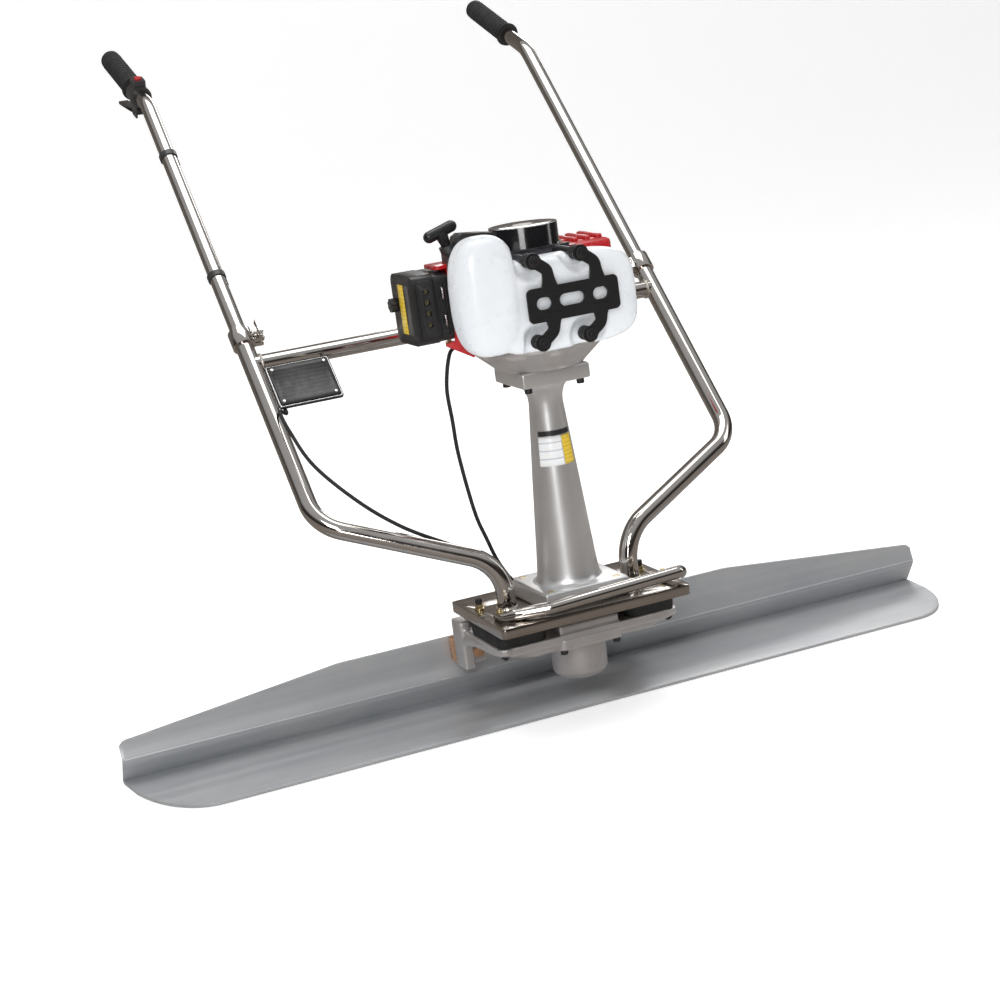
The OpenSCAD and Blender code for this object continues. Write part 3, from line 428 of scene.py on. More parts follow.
def catmull(points, steps):
    """A smooth curve through points."""
    padded = [points[0]] + points + [points[-1]]
    out = []
    for a, b, c, d in zip(padded, padded[1:], padded[2:], padded[3:]):
        for i in range(steps):
            t = i / steps
            out.append(0.5 * ((2 * b) + (c - a) * t + (2 * a - 5 * b + 4 * c - d) * t * t
                              + (3 * b - a - 3 * c + d) * t ** 3))
    out.append(points[-1])
    return out


def frames_along(path):
    """Tangent, side and up at each point, without twist."""
    tangents = []
    for i in range(len(path)):
        before = path[max(i - 1, 0)]
        after = path[min(i + 1, len(path) - 1)]
        tangents.append((after - before).normalized())
    side = tangents[0].orthogonal().normalized()
    out = []
    for t in tangents:
        side = (side - t * side.dot(t)).normalized()
        out.append((t, side, t.cross(side)))
    return out


def resample(path, count):
    """Evenly spaced points along a polyline."""
    total = sum((b - a).length for a, b in zip(path, path[1:]))
    out, walked, i = [path[0]], 0.0, 0
    for k in range(1, count):
        target = total * k / count
        while walked + (path[i + 1] - path[i]).length < target:
            walked += (path[i + 1] - path[i]).length
            i += 1
        span = (path[i + 1] - path[i]).length
        out.append(path[i].lerp(path[i + 1], (target - walked) / span))
    out.append(path[-1])
    return out


def skin(rows, ring, caps=True):
    """Faces between equal rings of points, and over the first and the last ring."""
    faces = []
    for i in range(rows - 1):
        for k in range(ring):
            j = (k + 1) % ring
            faces.append((i * ring + k, i * ring + j, (i + 1) * ring + j, (i + 1) * ring + k))
    if caps:
        faces.append(tuple(reversed(range(ring))))
        faces.append(tuple(range((rows - 1) * ring, rows * ring)))
    return faces


def sweep(name, path, radius, material, sides=40, sizes=None, caps=True):
    """A bar along the path; sizes holds each point's factors across its side and up."""
    verts = []
    for i, (p, (_, side, up)) in enumerate(zip(path, frames_along(path))):
        a, b = sizes[i] if sizes else (1, 1)
        for k in range(sides):
            phi = math.tau * k / sides
            verts.append(p + side * radius * a * math.cos(phi) + up * radius * b * math.sin(phi))
    obj = make(name, verts, skin(len(path), sides, caps), material)
    smooth(obj)
    return obj


def basis(origin, z):
    """Matrix placing a piece with its Z along z."""
    z = Vector(z).normalized()
    x = z.orthogonal()
    x = (x - z * x.dot(z)).normalized()
    y = z.cross(x)
    rot = Matrix((x, y, z)).transposed().to_4x4()
    return Matrix.Translation(origin) @ rot


def lathe(name, profile, material, spot=None, steps=72):
    """Turns (radius, height) points, in millimetres, about Z; radius 0 closes an end."""
    verts, faces, rings = [], [], []
    for r, h in profile:
        r, h = r * MM, h * MM
        if r == 0:
            rings.append([len(verts)])
            verts.append(Vector((0, 0, h)))
        else:
            rings.append(list(range(len(verts), len(verts) + steps)))
            for k in range(steps):
                phi = math.tau * k / steps
                verts.append(Vector((r * math.cos(phi), r * math.sin(phi), h)))
    for low, high in zip(rings, rings[1:]):
        for k in range(steps):
            j = (k + 1) % steps
            if len(low) == 1 and len(high) == 1:
                continue
            if len(low) == 1:
                faces.append((low[0], high[j], high[k]))
            elif len(high) == 1:
                faces.append((low[k], low[j], high[0]))
            else:
                faces.append((low[k], low[j], high[j], high[k]))
    if spot:
        verts = [spot @ v for v in verts]
    obj = make(name, verts, faces, material)
    smooth(obj)
    return obj


def round_profile(points, radius):
    """(radius, height) outline with its inner corners rounded."""
    path = fillet([Vector((p[0], p[1], 0)) for p in points], radius, 5)
    return [(v.x, v.y) for v in path]


def rounded_box(name, lo, hi, radius, material, segments=4):
    """A box from corner lo to corner hi with its edges rounded."""
    lo, hi = Vector(lo), Vector(hi)
    bm = bmesh.new()
    bmesh.ops.create_cube(bm, size=1)
    for v in bm.verts:
        v.co = Vector([(lo[i] + hi[i]) / 2 + v.co[i] * (hi[i] - lo[i]) for i in range(3)])
    bmesh.ops.bevel(bm, geom=bm.edges[:], offset=radius, segments=segments, profile=0.5,
                    affect="EDGES")
    obj = from_bmesh(name, bm, material)
    shade_smooth(obj.data)
    return obj


def rounded_rect(x0, x1, y0, y1, r, steps=6):
    """Outline of a rectangle with round corners."""
    ring = []
    for cx, cy, start in ((x1 - r, y1 - r, 0), (x0 + r, y1 - r, 90), (x0 + r, y0 + r, 180),
                          (x1 - r, y0 + r, 270)):
        for k in range(steps + 1):
            phi = math.radians(start + 90 * k / steps)
            ring.append((cx + r * math.cos(phi), cy + r * math.sin(phi)))
    return ring


def prism(name, outline, low, high, material, axis="Z"):
    """Extrudes an outline in millimetres along Z or Y."""
    count = len(outline)

    def at(a, b, h):
        return Vector((a, h, b) if axis == "Y" else (a, b, h)) * MM

    verts = [at(a, b, h) for h in (low, high) for a, b in outline]
    faces = [tuple(range(count)), tuple(reversed(range(count, 2 * count)))]
    faces += [(k, k + count, (k + 1) % count + count, (k + 1) % count) for k in range(count)]
    return make(name, verts, faces, material)


def super_shape(name, lo, hi, power, material, reshape=None):
    """A blown form between a box and an egg: the higher the power, the boxier."""
    lo, hi = Vector(lo), Vector(hi)
    centre, half = (lo + hi) / 2, (hi - lo) / 2
    bm = bmesh.new()
    bmesh.ops.create_icosphere(bm, subdivisions=6, radius=1)
    for v in bm.verts:
        d = v.co.normalized()
        k = sum(abs(d[i]) ** power for i in range(3)) ** (-1 / power)
        p = Vector([d[i] * k * half[i] for i in range(3)])
        v.co = centre + (reshape(p, half) if reshape else p)
    return from_bmesh(name, bm, material)


def bake(obj):
    """Applies an object's modifiers to its mesh."""
    graph = bpy.context.evaluated_depsgraph_get()
    mesh = bpy.data.meshes.new_from_object(obj.evaluated_get(graph))
    obj.modifiers.clear()
    obj.data = mesh


def join(name, parts):
    """One object from several; its first part's materials come first."""
    mesh = bpy.data.meshes.new(name)
    bm = bmesh.new()
    materials = []
    for part in parts:
        bake(part)
        part.data.transform(part.matrix_world)
        start = len(bm.faces)
        bm.from_mesh(part.data)
        bm.faces.ensure_lookup_table()
        part_materials = list(part.data.materials)
        for face in bm.faces[start:]:
            material = part_materials[face.material_index]
            if material not in materials:
                materials.append(material)
            face.material_index = materials.index(material)
        bpy.data.objects.remove(part)
    bm.to_mesh(mesh)
    bm.free()
    for material in materials:
        mesh.materials.append(material)
    obj = add_object(name, mesh)
    smooth(obj)
    return obj


def fuse(name, parts, voxel, rounds, material):
    """Melts overlapping parts into one skin; more smoothing rounds soften its corners."""
    obj = join(name, parts)
    obj.modifiers.clear()
    remesh = obj.modifiers.new("remesh", "REMESH")
    remesh.mode = "VOXEL"
    remesh.voxel_size = voxel * MM
    soften = obj.modifiers.new("soften", "SMOOTH")
    soften.factor = 0.5
    soften.iterations = rounds
    bake(obj)
    obj.data.materials.clear()
    obj.data.materials.append(material)
    shade_smooth(obj.data)
    return obj


def place(obj, body, slot, *nodes):
    """Rides on a CAD body and stands for the CAD nodes; slot is not used."""
    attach(obj, body)
    if nodes:
        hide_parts(*nodes)


def smoothstep(x):
    """0 below 0, 1 above 1, and an S-curve between."""
    x = max(0.0, min(1.0, x))
    return x * x * (3 - 2 * x)


# ---------------------------------------- blade


def blade_sheet():
    """The sole and its rolled wall as one sheet, thickened."""
    lo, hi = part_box("screed_blade")
    half, front_y, corner = hi.x, lo.y, 90 * MM
    thick, heel_y, sole_z = 3.7 * MM, 146 * MM, 3.8 * MM
    # the wall's section (y, z): heel, slope, crease at z 36 to 39, upright web
    wall = [(146.0, 3.8), (143.5, 6.2), (139, 12), (133, 21), (126.5, 30), (123.6, 36), (123.4, 39),
            (125.6, 45), (127.9, 52), (128.5, 59), (128.5, 72), (128.5, 83)]
    wall = [(v.y, v.z) for v in catmull([mm(0, y, z) for y, z in wall], 4)]
    # the top edge is level out to flat, then falls to end_top and rounds off
    flat, end_top = 293 * MM, 61 * MM
    round_len, round_drop = 8 * MM, 5 * MM
    count, sole_steps = 150, 14
    columns = []
    for i in range(count + 1):
        u = -1 + 2 * i / count
        # finer steps towards both ends, where the corners turn
        x = half * math.sin(u * math.pi / 2) * 0.35 + half * u * 0.65
        reach = max(0.0, abs(x) - (half - corner)) / corner
        y0 = heel_y - (heel_y - front_y) * math.sqrt(max(0.0, 1 - min(1.0, reach) ** 2))
        y0 = min(y0, heel_y - 4 * MM)
        top = hi.z if abs(x) < flat else hi.z + (end_top - hi.z) * (abs(x) - flat) / (half - flat)
        top -= round_drop * (max(0.0, abs(x) - (half - round_len)) / round_len) ** 2
        section = [(y0 + (heel_y - y0) * k / sole_steps, sole_z) for k in range(sole_steps)]
        section += [(y, min(z, top)) for y, z in wall]
        section.append((wall[-1][0], top))
        columns.append([Vector((x, y, z)) for y, z in section])
    rows = len(columns[0])
    verts = [v for column in columns for v in column]
    faces = []
    for i in range(count):
        for k in range(rows - 1):
            a, b = i * rows + k, (i + 1) * rows + k
            faces.append((a, b, b + 1, a + 1))
    sheet = make("blade_sheet", verts, faces, MATS["alu_sheet"])
    weld = sheet.modifiers.new("weld", "WELD")
    weld.merge_threshold = 0.05 * MM
    solid = sheet.modifiers.new("solid", "SOLIDIFY")
    solid.thickness = thick
    solid.offset = -1
    bevel = sheet.modifiers.new("bevel", "BEVEL")
    bevel.width = 0.7 * MM
    bevel.segments = 2
    bevel.angle_limit = math.radians(50)
    smooth(sheet)
    bake(sheet)
    smooth(sheet)
    place(sheet, "screed", "alu_sheet", "screed_blade")
    # the drawn rib along the wall's crease
    rib_path = [Vector((x, 123.1 * MM, 37.5 * MM)) for x in (-half + 3 * MM, 0, half - 3 * MM)]
    rib = sweep("blade_rib", rib_path, 1.5 * MM, MATS["alu_sheet"], 12)
    place(rib, "screed", "alu_sheet")


# ---------------------------------------- vibrator castings


def vibrator_casting():
    """Cast frame: block in the middle, low deck with lugs, tall legs at the back."""
    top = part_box("vibrator_frame")[1].z / MM
    cast = MATS["cast_alu"]
    parts = [rounded_box("block", mm(-43, -49, 104), mm(43, 47, top), 3 * MM, cast),
             prism("deck", rounded_rect(-130, 130, -51, 104, 25), DECK_LO, DECK_HI, cast)]
    for side in (-1, 1):
        for x0, x1, y0 in ((120, 135, 73), (95, 135, 95)):
            xs = sorted((side * x0, side * x1))
            parts.append(rounded_box("leg", mm(xs[0], y0, 58), mm(xs[1], 108, top), 2.5 * MM,
                                     cast))
        lug = [(0, 0), (12, 0), (12.4, 9), (0, 9)]
        spot = basis(mm(side * 118, -39, 103.6), (0, 0, 1))
        parts.append(lathe("lug", lug, cast, spot, 40))
        # ribs under the deck: one thickens inwards to the block, one runs back to the legs
        web = [(110, -39, 104), (78, -40, 99), (40, -38, 101)]
        gusset = [(122, -30, 106), (126, 40, 104), (127, 84, 96)]
        web, gusset = (resample([mm(side * x, y, z) for x, y, z in rib], 20)
                       for rib in (web, gusset))
        thicker = [(0.75 + 0.02 * k, 0.6 + 0.02 * k) for k in range(21)]
        parts.append(sweep("web", web, 9 * MM, cast, 20, thicker))
        parts.append(sweep("gusset", gusset, 7 * MM, cast, 20))
    place(fuse("vibrator_cast", parts, 1.5, 5, cast), "screed", "cast_alu", "vibrator_frame")


def housing_casting():
    """Bearing housing: square flange over a round cup with a small boss underneath."""
    cast = MATS["cast_alu"]
    flange = prism("flange", rounded_rect(-46, 46, -52, 49, 9), 92.2, 105.9, cast)
    cup = [(0, 36), (7.6, 36), (9.6, 39.2), (27, 41.6), (33, 44.4), (36.6, 50), (38.2, 94), (0, 94)]
    cup = lathe("cup", cup, cast, None, 96)
    housing = fuse("housing_cast", [flange, cup], 1.1, 5, cast)
    place(housing, "screed", "cast_alu", "bearing_housing")


# ---------------------------------------- tubes


def weld_ring(name, centre, axis, radius, bead):
    """A weld bead round a tube, rippled 26 times; bead is its radius in millimetres."""
    rim = []
    spin = basis(centre, axis)
    for k in range(97):
        phi = math.tau * k / 96
        r = radius + 0.2 * MM * math.sin(phi * 26)
        rim.append(spin @ Vector((r * math.cos(phi), r * math.sin(phi), 0)))
    return sweep(name, rim, bead * MM, WELD, 10, caps=False)


def handle_tubes():
    """Both lower tubes and the cross tube, welded."""
    parts = []
    for side in (-1, 1):
        foot = Vector((side * FOOT.x, FOOT.y, FOOT.z))
        path = fillet([foot, foot + mm(0, 0, 62), up_pt(side, 0), up_pt(side, LOWER_END_T)],
                      58 * MM, 16)
        parts.append(sweep(f"leg{side}", path, TUBE_R, MATS["chrome_tube"], 56))
        parts.append(weld_ring(f"foot_weld{side}", foot + mm(0, 0, 1.6), (0, 0, 1),
                               TUBE_R + 0.6 * MM, 2.2))
        end = up_pt(side, BAR_T) - Vector((side * (TUBE_R + 0.2 * MM), 0, 0))
        parts.append(weld_ring(f"bar_weld{side}", end, (1, 0, 0), TUBE_R - 0.3 * MM, 1.8))
    ends = [up_pt(side, BAR_T) - mm(side * 4, 0, 0) for side in (-1, 1)]
    parts.append(sweep("cross", [ends[0], (ends[0] + ends[1]) / 2, ends[1]], TUBE_R - 0.5 * MM,
                       MATS["chrome_tube"], 56))
    place(join("handle_tubes", parts), "machine", "chrome_tube", "handle_frame")


def upper_tubes():
    """Both sliding tubes, bent back at the top for the grips."""
    parts = []
    for side in (-1, 1):
        top = up_pt(side, UPPER_HI_T)
        tip = top + GRIP_DIR * (GRIP_START + GRIP_LEN)
        path = fillet([up_pt(side, UPPER_LO_T), top, tip], 60 * MM, 14)
        parts.append(sweep(f"rise{side}", path, UPPER_R, MATS["chrome_tube"], 48))
    place(join("upper_tubes", parts), "handle_bars", "chrome_tube", "upper_handles")


def guard_bar():
    """Front bar with flattened, bolted ends."""
    lo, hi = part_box("front_bar")
    radius = 8.5
    y_bar, z_bar = lo.y / MM + radius + 0.2, hi.z / MM - radius - 0.2
    points = [(-118, -31, 152.6), (-117, -47, 153.4), (-104, -57, 158), (-60, y_bar, 161),
              (136, y_bar, z_bar), (124, -57, 159), (118, -46, 153.4), (118, -31, 152.6)]
    points = [mm(*p) for p in points]
    path = resample(fillet(points, 9 * MM, 10), 200)
    sizes = []
    for p in path:
        near = min((p - points[0]).length, (p - points[-1]).length)
        # flat for 14 mm from either end, round from 40 mm on
        flat = 1 - smoothstep((near - 14 * MM) / (26 * MM))
        sizes.append((1 + 0.3 * flat, 1 - 0.72 * flat))
    bar = sweep("guard_bar", path, radius * MM, MATS["chrome_tube"], 48, flat_sizes(path, sizes))
    place(bar, "machine", "chrome_tube", "front_bar")


def flat_sizes(path, sizes):
    """Turns level width and height into factors for the sweep's own side and up."""
    out = []
    for (_, side, up), (wide, high) in zip(frames_along(path), sizes):
        lean = abs(side.z) / max(1e-6, math.hypot(side.z, up.z))
        out.append((wide + (high - wide) * lean, high + (wide - high) * lean))
    return out


# ---------------------------------------- tank


def fuel_tank():
    """Blown tank: tall filler lobe on the left, low main body, recesses, parting line."""
    lo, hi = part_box("fuel_tank")
    white = MATS["plastic_white"]

    def egg(p, half):
        """Narrower towards the top."""
        rise = p.z / half.z
        squeeze = 1 - 0.07 * max(0.0, rise) ** 2
        return Vector((p.x * squeeze, p.y * (1 - 0.05 * rise), p.z))

    lobe = super_shape("lobe", (lo.x, lo.y, 499 * MM), (-55 * MM, -52 * MM, hi.z), 3, white, egg)
    main = super_shape("main", (-100 * MM, -125 * MM, lo.z), (hi.x, -62 * MM, 611 * MM), 4.2, white)
    neck = lathe("neck", [(0, -8), (15, -8), (15, 29), (0, 29)], white, basis(CAP_MOUTH, CAP_AXIS))
    tank = fuse("tank_skin", [lobe, main, neck], 1.6, 14, white)
    for v in tank.data.vertices:
        dent_tank(v)
    soften = tank.modifiers.new("soften", "SMOOTH")
    soften.factor = 0.5
    soften.iterations = 5
    bake(tank)
    place(tank, "machine", "plastic_white", "fuel_tank")
    # the mould's parting line, seen round the right-hand end only
    seam, count, end_x, power = [], 120, 52 * MM, 0.476
    for k in range(count + 1):
        phi = math.tau * k / count
        x = 0.2 * MM + 96.2 * MM * sgn_pow(math.cos(phi), power)
        z = 552 * MM + 58.3 * MM * sgn_pow(math.sin(phi), power)
        seam.append(Vector((x, -93 * MM, z)))
    start = next(i for i, p in enumerate(seam) if p.x > end_x and seam[i - 1].x <= end_x)
    seam = [seam[(start + i) % count] for i in range(count)]
    ring = sweep("tank_seam", [p for p in seam if p.x > end_x], 0.7 * MM, white, 8)
    place(ring, "machine", "plastic_white")


def sgn_pow(v, e):
    """A power that keeps the sign."""
    return math.copysign(abs(v) ** e, v)


def dent_tank(v):
    """Recesses behind the guard's arms, linked by a shallow channel above and below."""
    floor_y, lobe_x = -84 * MM, -66 * MM
    if v.co.y > floor_y or v.co.x < lobe_x:
        return
    depth = 0.0
    for x, z in POSTS:
        gap = math.hypot(v.co.x - x, v.co.z - z)
        depth = max(depth, 15 * MM * smoothstep((27 * MM - gap) / (13 * MM)))
        near_x = max(POSTS[0][0], min(POSTS[2][0], v.co.x))
        gap = math.hypot(v.co.x - near_x, v.co.z - z)
        depth = max(depth, 6 * MM * smoothstep((24 * MM - gap) / (14 * MM)))
    v.co.y = min(floor_y, v.co.y + depth)


def fuel_cap():
    """Screw cap with 24 grip ribs, leaning with the filler neck."""
    outline = round_profile([(14.5, 28), (18.6, 28), (18.6, 39), (17.5, 44), (0, 44)], 1.5)
    spot = basis(CAP_MOUTH, CAP_AXIS)
    cap = lathe("cap_body", outline, MATS["plastic_black"], spot)
    ribs = []
    for k in range(24):
        phi = math.tau * k / 24
        foot = spot @ mm(18.2 * math.cos(phi), 18.2 * math.sin(phi), 29)
        ribs.append(sweep(f"rib{k}", [foot, foot + CAP_AXIS * 10 * MM], 1.0 * MM,
                          MATS["plastic_black"], 8))
    place(join("fuel_cap_ribbed", [cap] + ribs), "tank_cap", "plastic_black", "fuel_cap")


# ---------------------------------------- tank guard


def tank_guard():
    """Flat guard with four bent arms ending in eyes on the posts, and three slots."""
    lo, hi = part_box("tank_bracket")
    front, back = lo.y, hi.y
    black = MATS["plastic_black"]
    parts = [prism("slab", rounded_rect(-61, 63, 534, 577, 7), front / MM, back / MM, black, "Y")]
    centre_y = (front + back) / 2
    for x, z in POSTS:
        up = 1 if z > 550 * MM else -1
        root = Vector((x + 18 * MM, centre_y, (556 + up * 12) * MM))
        bend = Vector((x + 17 * MM, centre_y, z - up * 13 * MM))
        tip = Vector((x, centre_y, z))
        arm = resample(fillet([root, bend, tip], 10 * MM), 24)
        wide = [(1.35 - 0.45 * smoothstep(k / 12),) * 2 for k in range(25)]
        parts.append(sweep("arm", arm, 8.4 * MM, black, 24, wide))
        eye = [(0, 0), (10.5, 0), (10.5, (back - front) / MM), (0, (back - front) / MM)]
        parts.append(lathe("eye", eye, black, basis(Vector((x, front, z)), (0, 1, 0))))
    plate = fuse("guard_plate", parts, 0.8, 6, black)
    for v in plate.data.vertices:
        v.co.y = max(front - 0.4 * MM, min(back + 0.4 * MM, v.co.y))
    for x0, x1 in ((-49, -29), (-18, 15), (27, 47)):
        cut_slot(plate, x0 * MM, x1 * MM, 549.5 * MM, 564.5 * MM, front, back)
    finish_edges(plate, 0.5, 50)
    place(plate, "machine", "plastic_black", "tank_bracket")


def cut_slot(obj, x0, x1, z0, z1, front, back):
    """Removes a round-ended slot along X."""
    r, middle = (z1 - z0) / 2, (z0 + z1) / 2
    ring = []
    for end, turn in ((x1 - r, r), (x0 + r, -r)):
        for k in range(24):
            phi = math.pi * k / 23
            ring.append(((end + turn * math.sin(phi)) / MM, (middle + turn * math.cos(phi)) / MM))
    carve(obj, prism("slot_tool", ring, front / MM - 5, back / MM + 5, MATS["plastic_black"], "Y"))


def carve(obj, tool):
    """Cuts a closed tool out of a mesh and removes the tool."""
    face_outwards(tool.data)
    cut = obj.modifiers.new("carve", "BOOLEAN")
    cut.operation = "DIFFERENCE"
    cut.solver = "EXACT"
    cut.object = tool
    bake(obj)
    bpy.data.objects.remove(tool)


# ---------------------------------------- column


def column():
    """Foot block, tapered trunk with cast fillets and top flange."""
    lo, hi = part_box("column")
    silver = MATS["painted_silver"]
    foot = rounded_box("foot", (lo.x, lo.y, lo.z), (hi.x, hi.y, 174 * MM), 3.2 * MM, silver, 5)
    flange = rounded_box("flange", mm(-47.5, -47.5, 440), mm(47.5, 47.5, hi.z / MM), 3 * MM,
                         silver, 5)
    # open underneath, clear of the eccentric shaft when the isolators give
    bore, floor_z = 26, lo.z / MM - 5
    pocket = [(0, floor_z), (bore, floor_z), (bore, 180), (0, 180)]
    carve(foot, lathe("pocket", pocket, silver, None, 64))
    trunk = [(0, 182), (bore, 182), (bore, 172), (48, 172), (48, 174.1), (44.4, 175), (42.4, 177.5),
             (41.2, 182), (40.2, 190), TRUNK_LOW, (31, 307), TRUNK_HIGH, (22.4, 412), (23, 420),
             (26.5, 430), (33.5, 438.5), (38, 441), (0, 441)]
    body = lathe("trunk", trunk, silver, None, 96)
    place(join("column_cast", [foot, body, flange]), "machine", "painted_silver", "column")
    # blank stickers on the trunk's front
    column_sticker("column_band", 370, 377, -60, 44, DARK_STICKER, 0.55)
    column_sticker("column_sticker", 331, 369.2, -60, 8, WHITE_STICKER, 0.5)
    column_sticker("column_yellow", 331, 369.2, 9, 44, STICKER, 0.5)


def column_sticker(name, z0, z1, a0, a1, material, lift):
    """A thin sheet lift mm off the trunk's taper, between two heights and two angles."""
    (r_low, z_low), (r_high, z_high) = TRUNK_LOW, TRUNK_HIGH
    verts, faces = [], []
    wide, high = 24, 6
    for j in range(high + 1):
        z = z0 + (z1 - z0) * j / high
        r = (r_low + (r_high - r_low) * (z - z_low) / (z_high - z_low) + lift) * MM
        for i in range(wide + 1):
            a = math.radians(a0 + (a1 - a0) * i / wide)
            verts.append(Vector((r * math.sin(a), -r * math.cos(a), z * MM)))
    for j in range(high):
        for i in range(wide):
            k = j * (wide + 1) + i
            faces.append((k, k + 1, k + wide + 2, k + wide + 1))
    sheet = make(name, verts, faces, material)
    solid = sheet.modifiers.new("solid", "SOLIDIFY")
    solid.thickness = 0.25 * MM
    solid.offset = 1
    place(sheet, "machine", "painted_silver")


# ---------------------------------------- soft lines


def throttle_cable():
    """From the carburettor down the column's left, up the left handle to the thumb lever."""
    # from the handle's axis to where the clips hold the cable
    beside = mm(13, 15.5 * math.sqrt(0.5), -15.5 * math.sqrt(0.5))
    down = Vector((0, 0.3412, -0.94))
    grip = up_pt(-1, UPPER_HI_T) + GRIP_DIR * 31 * MM + down * 21 * MM
    points = [(-98, 31, 499.5), (-117, 14, 494), (-131, 3, 455), (-129, 5, 410), (-126, 8, 362),
              (-112, 17, 284), (-98, 24, 243), (-85, 31, 210), (-70, 36, 183), (-65, 41, 177),
              (-66, 46, 180), (-80, 47, 198), (-109, 46, 222), (-145, 45, 243), (-200, 57, 276),
              (-249, 72, 318), (-290, 108, 369), (-301, 158, 410), (-299, 199, 431),
              (-285, 218, 424), (-283, 240, 433)]
    points = [mm(*p) for p in points]
    points += [up_pt(-1, t * MM) + beside for t in (190, 240, 300, 380, 470, 515)]
    points += [grip - GRIP_DIR * 14 * MM + mm(5, 0, -4), grip]
    cable = sweep("cable_sheath", catmull(points, 10), 2.5 * MM, MATS["rubber_black"], 16)
    bake(cable)
    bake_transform(cable)
    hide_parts("throttle_cable")


def starter_rope():
    """From the drum's port through the guide's eye to the grip, leaning 17 degrees."""
    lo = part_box("starter_rope")[0]
    port = Vector((-44 * MM, 0, lo.z + 1.7 * MM))
    eye = Vector((lo.x + 1.9 * MM, 0, lo.z + 1.7 * MM))
    tilt = math.radians(17)
    pull = Vector((-math.sin(tilt), 0, math.cos(tilt)))
    run = resample(fillet([port + mm(14, 0, 0), eye, eye + pull * 17 * MM], 3 * MM), 60)
    rope = sweep("rope_line", run, 1.7 * MM, ROPE, 12)
    bake(rope)
    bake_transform(rope)
    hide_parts("starter_rope")


def rubber_pads():
    """Two sandwich mounts that bulge at mid height."""
    lo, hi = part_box("rubber_pads")
    lo.z = DECK_HI * MM
    rows = []
    for k in range(9):
        t = k / 8
        rows.append((lo.z + (hi.z - lo.z) * t, (1.6 * (1 - (2 * t - 1) ** 2) - 1.5) * MM))
    pads = join("pad_pair", [pad_stack(side, rows, lo.y, hi.y, hi.x) for side in (-1, 1)])
    bake(pads)
    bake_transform(pads)
    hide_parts("rubber_pads")


def pad_stack(side, rows, y0, y1, x_out):
    """A rounded rectangle stacked in rows of (height, overhang)."""
    x0, x1, corner, steps = 58 * MM, x_out, 14 * MM, 8
    verts = []
    for z, grow in rows:
        edge = rounded_rect(x0 - grow, x1 + grow, y0 - grow, y1 + grow, corner + grow, steps)
        verts += [Vector((side * x, y, z)) for x, y in edge]
    obj = make("pad", verts, skin(len(rows), 4 * (steps + 1)), MATS["rubber_black"])
    face_outwards(obj.data)
    return obj


def hand_grips():
    """Rubber sleeves with a collar, eleven finger rings and a closed end."""
    length, rings = GRIP_LEN / MM, 11
    outline = [(UPPER_R / MM, 0), (18, 0), (18.4, 2), (17.6, 4.4), (15, 5.5)]
    for k in range(rings):
        h0 = 10 + k * (length - 14) / rings
        outline += [(r, h0 + dh) for dh, r in ((0, 14.4), (1.2, 14.5), (2.4, 15.6), (6.5, 15.7),
                                               (8.2, 14.5))]
    outline += [(15.2, length + 1), (14, length + 3.4), (10, length + 4), (0, length + 4)]
    parts = [lathe(f"grip{side}", outline, MATS["rubber_black"],
                   basis(up_pt(side, UPPER_HI_T) + GRIP_DIR * GRIP_START, GRIP_DIR))
             for side in (-1, 1)]
    place(join("ribbed_grips", parts), "handle_bars", "rubber_black", "hand_grips")


# ---------------------------------------- small details


def details():
    """Blank labels, clips, a grey top disc of painted reflection and plate rim that sit on
    carried-over nodes.
    """
    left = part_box("air_cleaner_cover")[0].x
    for name, y0, y1, material in (("cleaner_strip", 17, 36, STICKER),
                                   ("cleaner_panel", -2, 11, DARK_STICKER)):
        strip = rounded_box(name, (left - 0.35 * MM, y0 * MM, 528 * MM),
                            (left + 0.1 * MM, y1 * MM, 591 * MM), 0.2 * MM, material, 2)
        place(strip, "cleaner_cover", "plastic_black")
    for z in (543, 577):
        hook = fillet([mm(-129, y, z + dz)
                       for y, dz in ((-21, -8), (-25, -6), (-25, 6), (-21, 8))], 1.5 * MM)
        clip = sweep(f"cleaner_clip{z}", hook, 1.3 * MM, MATS["machined_steel"], 10)
        place(clip, "machine", "plastic_black")
    for x in (-134, -123):
        rib = rounded_box(f"base_rib{-x}", mm(x - 1, -22, 523), mm(x + 1, -19.5, 596), 0.6 * MM,
                          MATS["plastic_black"])
        place(rib, "machine", "plastic_black")
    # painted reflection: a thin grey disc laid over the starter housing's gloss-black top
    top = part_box("starter_housing")[1].z / MM
    outline = round_profile([(39.6, top - 2), (39.6, top - 0.2), (0, top + 0.1)], 0.6)
    place(lathe("starter_top", outline, PAINTED_TOP_REFLECTION), "machine", "plastic_gloss_black")
    plate_rim()


def plate_rim():
    """Bright border and rivet heads of the name plate."""
    across, down = Vector((1, 0, 0)), Vector((0, -1, -1)).normalized()
    out = Vector((0, -1, 1)).normalized()
    centre = Vector((-246 * MM, BEND.y + BAR_T, BEND.z + BAR_T)) + down * 46 * MM + out * 3.6 * MM
    rim = [centre + across * x * MM + down * y * MM
           for x, y in rounded_rect(-44, 44, -34, 34, 3, 8)]
    rim.append(rim[0])
    parts = [sweep("border", rim, 0.9 * MM, RIM, 12, caps=False)]
    rivet = [(0, -0.5), (3.1, -0.5), (3.1, 0.4), (2, 1.7), (0, 2.2)]
    for x, y in ((-37, -27), (37, -27), (-37, 27), (37, 27)):
        head = centre + across * x * MM + down * y * MM + out * 1.2 * MM
        parts.append(lathe("rivet", rivet, RIM, basis(head, out), 24))
    place(join("plate_rim", parts), "machine", "plate_black")


# ---------------------------------------- carried-over nodes

